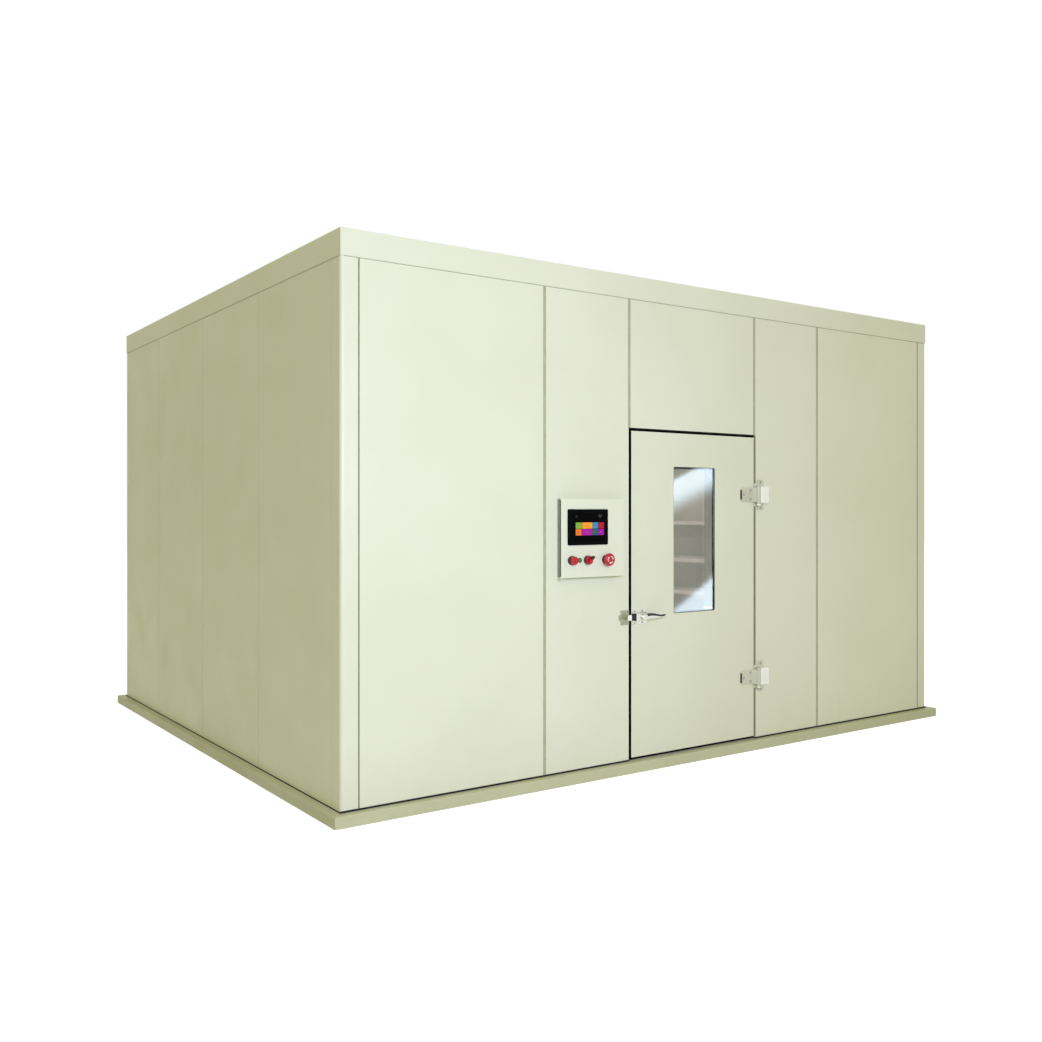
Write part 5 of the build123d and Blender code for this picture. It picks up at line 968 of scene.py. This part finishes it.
# %% Terminals and lamps on the modules
MODULE_WIDTHS, MODULE_GAP, MODULE_HEIGHT = (0.070, 0.045, 0.045, 0.036, 0.036, 0.036), 0.002, 0.090
TERMINAL_PITCH, TERMINAL_IN = 0.013, 0.010
module_low, module_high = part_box("control_modules")
MODULE_FACE = module_low[1]
MODULE_TOP = module_high[2]
MODULE_FOOT = MODULE_TOP - MODULE_HEIGHT
STRIP_TOP = module_low[2] + 0.048
terminals, lamps = bmesh.new(), bmesh.new()
slot_recess = cross_recess(0.0022, 0.0006)
x = module_low[0] + 0.016
columns = []
for width in MODULE_WIDTHS:
    count = int(width / TERMINAL_PITCH)
    for i in range(count):
        xt = x + width * (i + 0.5) / count
        columns.append(xt)
        for z in (MODULE_TOP - TERMINAL_IN, MODULE_FOOT + TERMINAL_IN):
            turned(terminals, [(0.0035, 0.0), (0.0035, 0.0012), (slot_recess, 0.0012), (slot_recess, 0.0004)],
                   (xt, MODULE_FACE, z), OUT, steps=16)
    turned(lamps, [(0.0022, 0.0), (0.0022, 0.001), (0.0012, 0.002)],
           (x + width / 2, MODULE_FACE, MODULE_TOP - 0.026), OUT, steps=12)
    x += width + MODULE_GAP
add_piece("module_terminals", terminals, SCREW_METAL, "root")
add_piece("module_lamps", lamps, LIT["green"], "root")

# %% Leads to the terminal strip
LEAD_COLOURS = (moulding("black_lead_sheath", "#151515", "#202020", 0.4),
                moulding("blue_lead_sheath", "#1D4F9E", "#1A478E", 0.4),
                moulding("brown_lead_sheath", "#6B3E22", "#5D361E", 0.4))
LEAD_R, LEAD_STEPS, STRIP_PITCH = 0.0016, 12, 0.0165
LEAD_TOP, LEAD_FOOT = MODULE_FOOT + 0.001, STRIP_TOP - 0.001
for k, sheath in enumerate(LEAD_COLOURS):
    bm = bmesh.new()
    for i, xt in enumerate(columns[k::3]):
        end = module_low[0] + 0.014 + (i * 3 + k) * STRIP_PITCH
        path = []
        for t in (s / LEAD_STEPS for s in range(LEAD_STEPS + 1)):
            ease = t * t * (3 - 2 * t)
            path.append((xt + (end - xt) * ease, MODULE_FACE + 0.016 - 0.010 * sin(pi * t) - 0.002 * (i % 2),
                         LEAD_TOP + (LEAD_FOOT - LEAD_TOP) * t))
        swept(bm, path, LEAD_R, steps=8)
    add_piece(sheath.name.replace("sheath", "wires"), bm, sheath, "root")
print("leads fall", round(LEAD_TOP - LEAD_FOOT, 4), "m")

# %% [markdown]
# ## Cam-lock caps and mastic inside the room
# Cold room panels are drawn together with cam locks, turned from inside through small holes.
# Each hole is closed with a white plastic cap. The caps stand in rows beside every seam, which
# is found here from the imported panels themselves.

# %% Find the seams
def seams_of(node, axis):
    """Middle of each gap of 3 mm between neighbouring panels of a node."""
    values = sorted({round(v.co[axis], 4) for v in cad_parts[node].data.vertices})
    return [round((a + b) / 2, 4) for a, b in zip(values, values[1:]) if abs(b - a - 0.003) < 0.0004]


side_seams = seams_of("side_wall_panels", 1)
rear_seams = seams_of("rear_wall_panels", 0)
print("side seams", side_seams, "rear seams", rear_seams)

# %% Caps beside the seams
WALL_THICK = 0.100
LOW_ROW, RACK_ROW, HIGH_ROW = 0.35, 1.40, 2.45  # the middle row is left out behind the rack
CAP_ASIDE, CORNER_CLEAR = 0.045, 0.1
COOLER_FOOT = 2.2  # no caps on the rear wall above this, where the cooler hangs
CAP_PROFILE = [(0.013, 0.0), (0.013, 0.001), (0.0115, 0.0022), (0.003, 0.0028)]
rear_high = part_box("rear_wall_panels")[1]
INNER_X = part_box("side_wall_panels")[1][0] - WALL_THICK
INNER_Y = rear_high[1] - WALL_THICK
caps = bmesh.new()
for z in (LOW_ROW, RACK_ROW, HIGH_ROW):
    for y in side_seams:
        if abs(y) < INNER_Y - CORNER_CLEAR:
            turned(caps, CAP_PROFILE, (-INNER_X, y + CAP_ASIDE, z), (1, 0, 0), steps=20)
            if z != RACK_ROW:
                turned(caps, CAP_PROFILE, (INNER_X, y + CAP_ASIDE, z), (-1, 0, 0), steps=20)
    for x in rear_seams:
        if abs(x) < INNER_X - CORNER_CLEAR and z < COOLER_FOOT:
            turned(caps, CAP_PROFILE, (x + CAP_ASIDE, INNER_Y, z), (0, -1, 0), steps=20)
add_piece("cam_lock_caps", caps, WHITE_PLASTIC, "root")

# %% [markdown]
# ## Fan guards
# A real guard is a spiral of thin wires on a few spokes. The solids carry the rings that bear
# the load, and the finer rings are added between them, welded to the spokes' fronts.

# %% Fine guard rings
WIRE, RING_PITCH, FIRST_RING, RIM_CLEAR, GUARD_SINK = 0.0015, 0.0125, 0.055, 0.008, 0.002
COOLER_RIM, UNIT_RIM = 0.163, 0.208
guard_low, guard_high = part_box("fan_guards")
bm = bmesh.new()
for name in ("cooler_rotor_left", "cooler_rotor_right", "condenser_rotor"):
    low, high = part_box(name)
    centre_x, centre_z = (low[0] + high[0]) / 2, (low[2] + high[2]) / 2
    outdoor = name == "condenser_rotor"
    y = guard_high[1] - GUARD_SINK if outdoor else guard_low[1] + GUARD_SINK
    rim = UNIT_RIM if outdoor else COOLER_RIM
    radius = FIRST_RING
    while radius < rim - RIM_CLEAR:
        loop = [(centre_x + radius * cos(a), y, centre_z + radius * sin(a))
                for a in (2 * pi * i / 72 for i in range(72))]
        swept(bm, loop, WIRE, closed=True, steps=8)
        radius += RING_PITCH
add_piece("guard_rings", bm, GUARD_COAT, "root")

# %% [markdown]
# ## Cooler, outdoor unit and pipe details
# Sheet metal casings are held by hexagon screws with a flange. Where pipes cross the rear wall
# a white collar hides the hole, and the cold suction pipe wears a black foam sleeve outside.

# %% Flanged hexagon screws
def hexagon(apothem):
    return lambda angle: apothem / cos((angle + pi / 6) % (pi / 3) - pi / 6)


def hex_screw(bm, at, facing, size):
    nut = hexagon(size * 0.5)
    turned(bm, [(size * 0.85, 0.0), (size * 0.85, size * 0.12), (nut, size * 0.2), (nut, size * 0.62),
                (size * 0.38, size * 0.7)], at, facing, steps=24)


CASING_SCREW, UNIT_SCREW, BRACKET_SCREW = 0.009, 0.010, 0.008  # sizes across the flats
CASING_IN, UNIT_IN = 0.014, 0.022  # from an edge of the sheet to the row of screws
cooler_low, cooler_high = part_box("cooler_casing")
CASING_TOP = cooler_high[2] - 0.040
bm = bmesh.new()
for x in (cooler_low[0] + 0.020, -0.42, 0.0, 0.42, cooler_high[0] - 0.020):
    for z in (cooler_low[2] + CASING_IN, CASING_TOP - CASING_IN):
        hex_screw(bm, (x, cooler_low[1], z), OUT, CASING_SCREW)
for y in (cooler_low[1] + 0.03, (cooler_low[1] + cooler_high[1]) / 2, cooler_high[1] - 0.03):
    for z in (cooler_low[2] + CASING_IN, CASING_TOP - CASING_IN):
        hex_screw(bm, (cooler_low[0], y, z), (-1, 0, 0), CASING_SCREW)
        hex_screw(bm, (cooler_high[0], y, z), (1, 0, 0), CASING_SCREW)
unit_low, unit_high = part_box("condenser_housing")
for x in (unit_low[0] + 0.030, 0.160, unit_high[0] - 0.030):
    for z in (unit_low[2] + UNIT_IN, (unit_low[2] + unit_high[2]) / 2, unit_high[2] - UNIT_IN):
        hex_screw(bm, (x, unit_high[1], z), (0, 1, 0), UNIT_SCREW)
for side, x in ((-1, unit_low[0]), (1, unit_high[0])):
    for y in (unit_low[1] + 0.03, unit_high[1] - 0.03):
        for z in (unit_low[2] + UNIT_IN, unit_high[2] - UNIT_IN):
            hex_screw(bm, (x, y, z), (side, 0, 0), UNIT_SCREW)
bracket_low, bracket_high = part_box("unit_brackets")
for x in (bracket_low[0] + 0.020, bracket_high[0] - 0.020):
    for z in (bracket_low[2] + 0.040, bracket_low[2] + 0.170):
        for dx in (-0.012, 0.012):
            hex_screw(bm, (x + dx, bracket_low[1] + 0.006, z), (0, 1, 0), BRACKET_SCREW)
add_piece("casing_screws", bm, SCREW_METAL, "root")

# %% Wall collars
pipe_low, pipe_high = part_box("refrigerant_pipes")
SUCTION_R, LIQUID_R = 0.014, 0.007
COLLAR_FIT, COLLAR_FLANGE, COLLAR_TOP = 0.0005, 0.022, 0.020
SUCTION_X, LIQUID_X = pipe_low[0] + SUCTION_R, pipe_high[0] - LIQUID_R
PIPE_TOP = pipe_high[2] - SUCTION_R
bm = bmesh.new()
for x, radius in ((SUCTION_X, SUCTION_R), (LIQUID_X, LIQUID_R)):
    collar = [(radius + COLLAR_FIT, 0.0), (radius + COLLAR_FLANGE, 0.0), (radius + COLLAR_TOP, 0.005),
              (radius + COLLAR_FIT, 0.008)]
    for y, facing in ((rear_high[1], (0, 1, 0)), (INNER_Y, OUT)):
        turned(bm, collar, (x, y, PIPE_TOP), facing, steps=28, hollow=True)
add_piece("pipe_collars", bm, WHITE_PLASTIC, "root")

# %% Foam sleeve on the suction pipe
UNIT_Y = (unit_low[1] + unit_high[1]) / 2
BEND, FOAM = 0.070, 0.009
path = [(SUCTION_X, UNIT_Y, unit_high[2] + 0.012 + i * 0.06) for i in range(6)]
path += [(SUCTION_X, UNIT_Y - BEND + BEND * cos(a), PIPE_TOP - BEND + BEND * sin(a))
         for a in (radians(9 * i) for i in range(11))]
path += [(SUCTION_X, UNIT_Y - BEND - 0.03 * i, PIPE_TOP) for i in range(1, 7)]
bm = bmesh.new()
swept(bm, path, SUCTION_R + FOAM, steps=18)
add_piece("suction_pipe_sleeve", bm, FOAM_SLEEVE, "root")

# %% [markdown]
# ## Lamp ends
# The ceiling lamp's shade is clipped between two moulded end caps.

# %% End caps
CAP_PROUD, CAP_LOW, CAP_ROUND, CAP_THICK = 0.006, 0.002, 0.018, 0.008
shade_low, shade_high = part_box("ceiling_lamp_shade")
shade_y, shade_z = (shade_low[1] + shade_high[1]) / 2, (shade_low[2] + shade_high[2]) / 2
cap_outline = rounded(shade_high[1] - shade_low[1] + CAP_PROUD,
                      shade_high[2] - shade_low[2] - CAP_LOW, CAP_ROUND)
bm = bmesh.new()
for x, facing in ((shade_low[0], (-1, 0, 0)), (shade_high[0], (1, 0, 0))):
    extruded(bm, cap_outline, (x, shade_y, shade_z), facing, CAP_THICK, edge=0.002)
add_piece("lamp_end_caps", bm, WHITE_PLASTIC, "root")

# %% [markdown]
# ## The camera
# The photograph was taken from the left, a little above the middle of the door. The lens and
# the place were worked out from the room's corners, with upright lines kept upright by the
# vertical shift, as an architect's camera does.

# %% Camera
LENS_MM, SENSOR_MM, SHIFT_UP = 36.14, 36.0, -0.0111
CAMERA_AT, CAMERA_TURN = (-4.6455, -6.7454, 1.5627), -34.968
camera_data = bpy.data.cameras.new("camera")
camera_data.sensor_width = SENSOR_MM
camera_data.lens = LENS_MM
camera_data.shift_y = SHIFT_UP
camera_data.clip_end = 200.0
camera = bpy.data.objects.new("camera", camera_data)
camera.location = CAMERA_AT
camera.rotation_euler = (radians(90), 0.0, radians(CAMERA_TURN))
bpy.context.collection.objects.link(camera)
bpy.context.scene.camera = camera
print("camera at", tuple(round(v, 3) for v in camera.location))

# %% [markdown]
# ## Studio: floor, backdrop and lamps
# The page behind the object is white. Camera, mirror and glass rays see a white floor and a
# white world, while the light that reaches the paint is plain and softer. The world's fill is
# a little yellow and the key lamp a little blue, which together give the picture's ivory. The
# floor keeps part of its own shading, so that the room's shadow stays on it.

# %% Floor
FLOOR_HALF, FLOOR_Z = 40, -0.0005
FLOOR_WHITE_SHARE, FLOOR_WHITE = 0.7, 1.5
PAPER_WHITE = (1.0, 1.0, 1.0, 1.0)
floor_material = bpy.data.materials.new("studio_floor")
floor_material.use_nodes = True
floor_tree = floor_material.node_tree
floor_tree.nodes.clear()
floor_where = add_node(floor_tree, "ShaderNodeTexCoord").outputs["Object"]
floor_cloud = add_node(floor_tree, "ShaderNodeTexNoise", {"Scale": 2.0}, {"Vector": floor_where})
floor_mix = add_node(floor_tree, "ShaderNodeMix",
                     {"data_type": "RGBA", 6: linear("#D5D4CC"), 7: linear("#D1D0C8")},
                     {0: floor_cloud.outputs[0]})
floor_base = add_node(floor_tree, "ShaderNodeBsdfDiffuse", links={"Color": floor_mix.outputs[2]})
floor_ray = add_node(floor_tree, "ShaderNodeLightPath")
seen = add_node(floor_tree, "ShaderNodeMath", {"operation": "MAXIMUM"},
                {0: floor_ray.outputs["Is Camera Ray"], 1: floor_ray.outputs["Is Glossy Ray"]})
seen_too = add_node(floor_tree, "ShaderNodeMath", {"operation": "MAXIMUM"},
                    {0: seen.outputs[0], 1: floor_ray.outputs["Is Transmission Ray"]})
share = add_node(floor_tree, "ShaderNodeMath", {"operation": "MULTIPLY", 1: FLOOR_WHITE_SHARE},
                 {0: seen_too.outputs[0]})
white = add_node(floor_tree, "ShaderNodeEmission", {"Color": PAPER_WHITE, "Strength": FLOOR_WHITE})
both = add_node(floor_tree, "ShaderNodeMixShader",
                links={0: share.outputs[0], 1: floor_base.outputs[0], 2: white.outputs[0]})
add_node(floor_tree, "ShaderNodeOutputMaterial", links={"Surface": both.outputs[0]})
floor_mesh = bpy.data.meshes.new("studio_floor")
floor_corners = [(x * FLOOR_HALF, y * FLOOR_HALF, FLOOR_Z) for x, y in ((-1, -1), (1, -1), (1, 1), (-1, 1))]
floor_mesh.from_pydata(floor_corners, [], [(0, 1, 2, 3)])
floor_mesh.materials.append(floor_material)
floor = bpy.data.objects.new("studio_floor", floor_mesh)
bpy.context.collection.objects.link(floor)
print("floor half width", FLOOR_HALF, "m")

# %% World
FILL_LIGHT, PAGE_LIGHT = 0.49, 1.0
world = bpy.data.worlds.new("studio_world")
bpy.context.scene.world = world
world.use_nodes = True
world_tree = world.node_tree
world_tree.nodes.clear()
world_ray = add_node(world_tree, "ShaderNodeLightPath")
world_seen = add_node(world_tree, "ShaderNodeMath", {"operation": "MAXIMUM"},
                      {0: world_ray.outputs["Is Camera Ray"], 1: world_ray.outputs["Is Glossy Ray"]})
world_seen_too = add_node(world_tree, "ShaderNodeMath", {"operation": "MAXIMUM"},
                          {0: world_seen.outputs[0], 1: world_ray.outputs["Is Transmission Ray"]})
fill = add_node(world_tree, "ShaderNodeBackground", {"Color": linear("#FFFDBA"), "Strength": FILL_LIGHT})
page = add_node(world_tree, "ShaderNodeBackground", {"Color": PAPER_WHITE, "Strength": PAGE_LIGHT})
sky = add_node(world_tree, "ShaderNodeMixShader",
               links={0: world_seen_too.outputs[0], 1: fill.outputs[0], 2: page.outputs[0]})
add_node(world_tree, "ShaderNodeOutputWorld", links={"Surface": sky.outputs[0]})
print("world fill", FILL_LIGHT)


# %% Lamps
def add_lamp(name, at, aim, width, height, power, colour):
    data = bpy.data.lights.new(name, "AREA")
    data.shape = "RECTANGLE"
    data.size, data.size_y = width, height
    data.energy = power
    data.color = linear(colour)[:3]
    lamp = bpy.data.objects.new(name, data)
    lamp.location = at
    lamp.rotation_euler = (Vector(aim) - Vector(at)).to_track_quat("-Z", "Y").to_euler()
    bpy.context.collection.objects.link(lamp)
    return lamp


key = add_lamp("key_lamp", (-3.0, -7.4, 2.5), (-1.0, -2.0, 1.3), 1.6, 1.6, 258.0, "#D9E0FF")
room = add_lamp("room_lamp", (0.0, -0.45, 2.70), (0.0, -0.45, 0.0), 0.55, 0.10, 36.0, "#FFE9DE")
print("lamps", key.name, room.name)

# %% [markdown]
# A pane of glass is known by what it mirrors. A large card stands far out in front of the
# door, where the camera's mirrored view of the window falls, and only mirror rays see it. Its
# light has two soft slanted bands, pale blue, which lie at the top and at the lower right of
# the glass. Both are set as shares of the window's width and height, then carried to the card.
# A tenth of the light goes to blurred mirrors such as chrome, which would glare otherwise.

# %% Where the card stands
CARD_Y = -6.0
PANE_Y = glass_low[1]
BEYOND = (PANE_Y - CARD_Y) / (PANE_Y - camera.location.y)  # the card's distance over the camera's
win_x0, win_x1 = glass_low[0], glass_high[0]
win_z0, win_z1 = glass_low[2], glass_high[2]


def mirrored(across, down):
    """Where the camera's view of a window point, as shares of its size, lands on the card."""
    x = win_x0 + (win_x1 - win_x0) * across
    z = win_z1 - (win_z1 - win_z0) * down
    return Vector((x + (x - camera.location.x) * BEYOND, CARD_Y, z + (z - camera.location.z) * BEYOND))


def band_edge(tree, place, left_down, right_down, soft, side):
    """1 on one side of a slanted line across the window, 0 on the other."""
    start, end = mirrored(0.0, left_down), mirrored(1.0, right_down)
    run = end - start
    across = Vector((-run.z, 0.0, run.x)).normalized() * side
    depth = add_node(tree, "ShaderNodeVectorMath", {"operation": "DOT_PRODUCT", 1: tuple(across)}, {0: place})
    level = across.dot(start)
    width = soft * (mirrored(0.0, 0.0) - mirrored(0.0, 1.0)).length
    span = {"interpolation_type": "SMOOTHSTEP", "From Min": level - width, "From Max": level + width}
    return add_node(tree, "ShaderNodeMapRange", span, {"Value": depth.outputs["Value"]})


print("card corners", [tuple(round(c, 2) for c in mirrored(a, d)) for a, d in ((0, 0), (1, 1))])

# %% Mirror card
# A band's edge is given by its heights at the left and right of the window, counted down from
# the top, then its softness and its bright side: -1 is below it and 1 is above it.
BLURRED_LIGHT, SHARP_LIGHT = 1.6, 18.0
CARD_LEFT, CARD_RIGHT, CARD_UP, CARD_DOWN = -0.4, 1.4, -0.25, 1.15
card_material = bpy.data.materials.new("mirror_card")
card_material.use_nodes = True
card_tree = card_material.node_tree
card_tree.nodes.clear()
card_place = add_node(card_tree, "ShaderNodeTexCoord").outputs["Object"]
above = band_edge(card_tree, card_place, 0.085, -0.070, 0.03, -1)
below = band_edge(card_tree, card_place, 0.295, 0.155, 0.10, 1)
upper = add_node(card_tree, "ShaderNodeMath", {"operation": "MULTIPLY"},
                 {0: above.outputs[0], 1: below.outputs[0]})
lower = band_edge(card_tree, card_place, 0.975, 0.750, 0.05, -1)
bands = add_node(card_tree, "ShaderNodeMath", {"operation": "MAXIMUM"},
                 {0: upper.outputs[0], 1: lower.outputs[0]})
card_cloud = add_node(card_tree, "ShaderNodeTexNoise", {"Scale": 1.6, "Detail": 2.0}, {"Vector": card_place})
veil = add_node(card_tree, "ShaderNodeMapRange",
                {"From Min": CLOUD_LOW, "From Max": CLOUD_HIGH, "To Min": 0.82, "To Max": 1.0},
                {"Value": card_cloud.outputs[0]})
glow = add_node(card_tree, "ShaderNodeMath", {"operation": "MULTIPLY"},
                {0: bands.outputs[0], 1: veil.outputs[0]})
sharp = add_node(card_tree, "ShaderNodeLightPath")
brightness = add_node(card_tree, "ShaderNodeMapRange", {"To Min": BLURRED_LIGHT, "To Max": SHARP_LIGHT},
                      {"Value": sharp.outputs["Is Singular Ray"]})
strength = add_node(card_tree, "ShaderNodeMath", {"operation": "MULTIPLY"},
                    {0: glow.outputs[0], 1: brightness.outputs[0]})
light = add_node(card_tree, "ShaderNodeEmission", {"Color": linear("#DDF1FF")},
                 {"Strength": strength.outputs[0]})
nothing = add_node(card_tree, "ShaderNodeBsdfTransparent")
card_mix = add_node(card_tree, "ShaderNodeMixShader",
                    links={0: bands.outputs[0], 1: nothing.outputs[0], 2: light.outputs[0]})
add_node(card_tree, "ShaderNodeOutputMaterial", links={"Surface": card_mix.outputs[0]})
card_mesh = bpy.data.meshes.new("mirror_card")
card_corners = [mirrored(CARD_LEFT, CARD_UP), mirrored(CARD_RIGHT, CARD_UP),
                mirrored(CARD_RIGHT, CARD_DOWN), mirrored(CARD_LEFT, CARD_DOWN)]
card_mesh.from_pydata(card_corners, [], [(0, 1, 2, 3)])
card_mesh.materials.append(card_material)
card = bpy.data.objects.new("mirror_card", card_mesh)
card.visible_camera = False
card.visible_diffuse = False
card.visible_shadow = False
card.visible_transmission = False
bpy.context.collection.objects.link(card)
print("card", card.name, "seen by mirror rays alone")

# %% View settings
bpy.context.scene.view_settings.view_transform = "Standard"
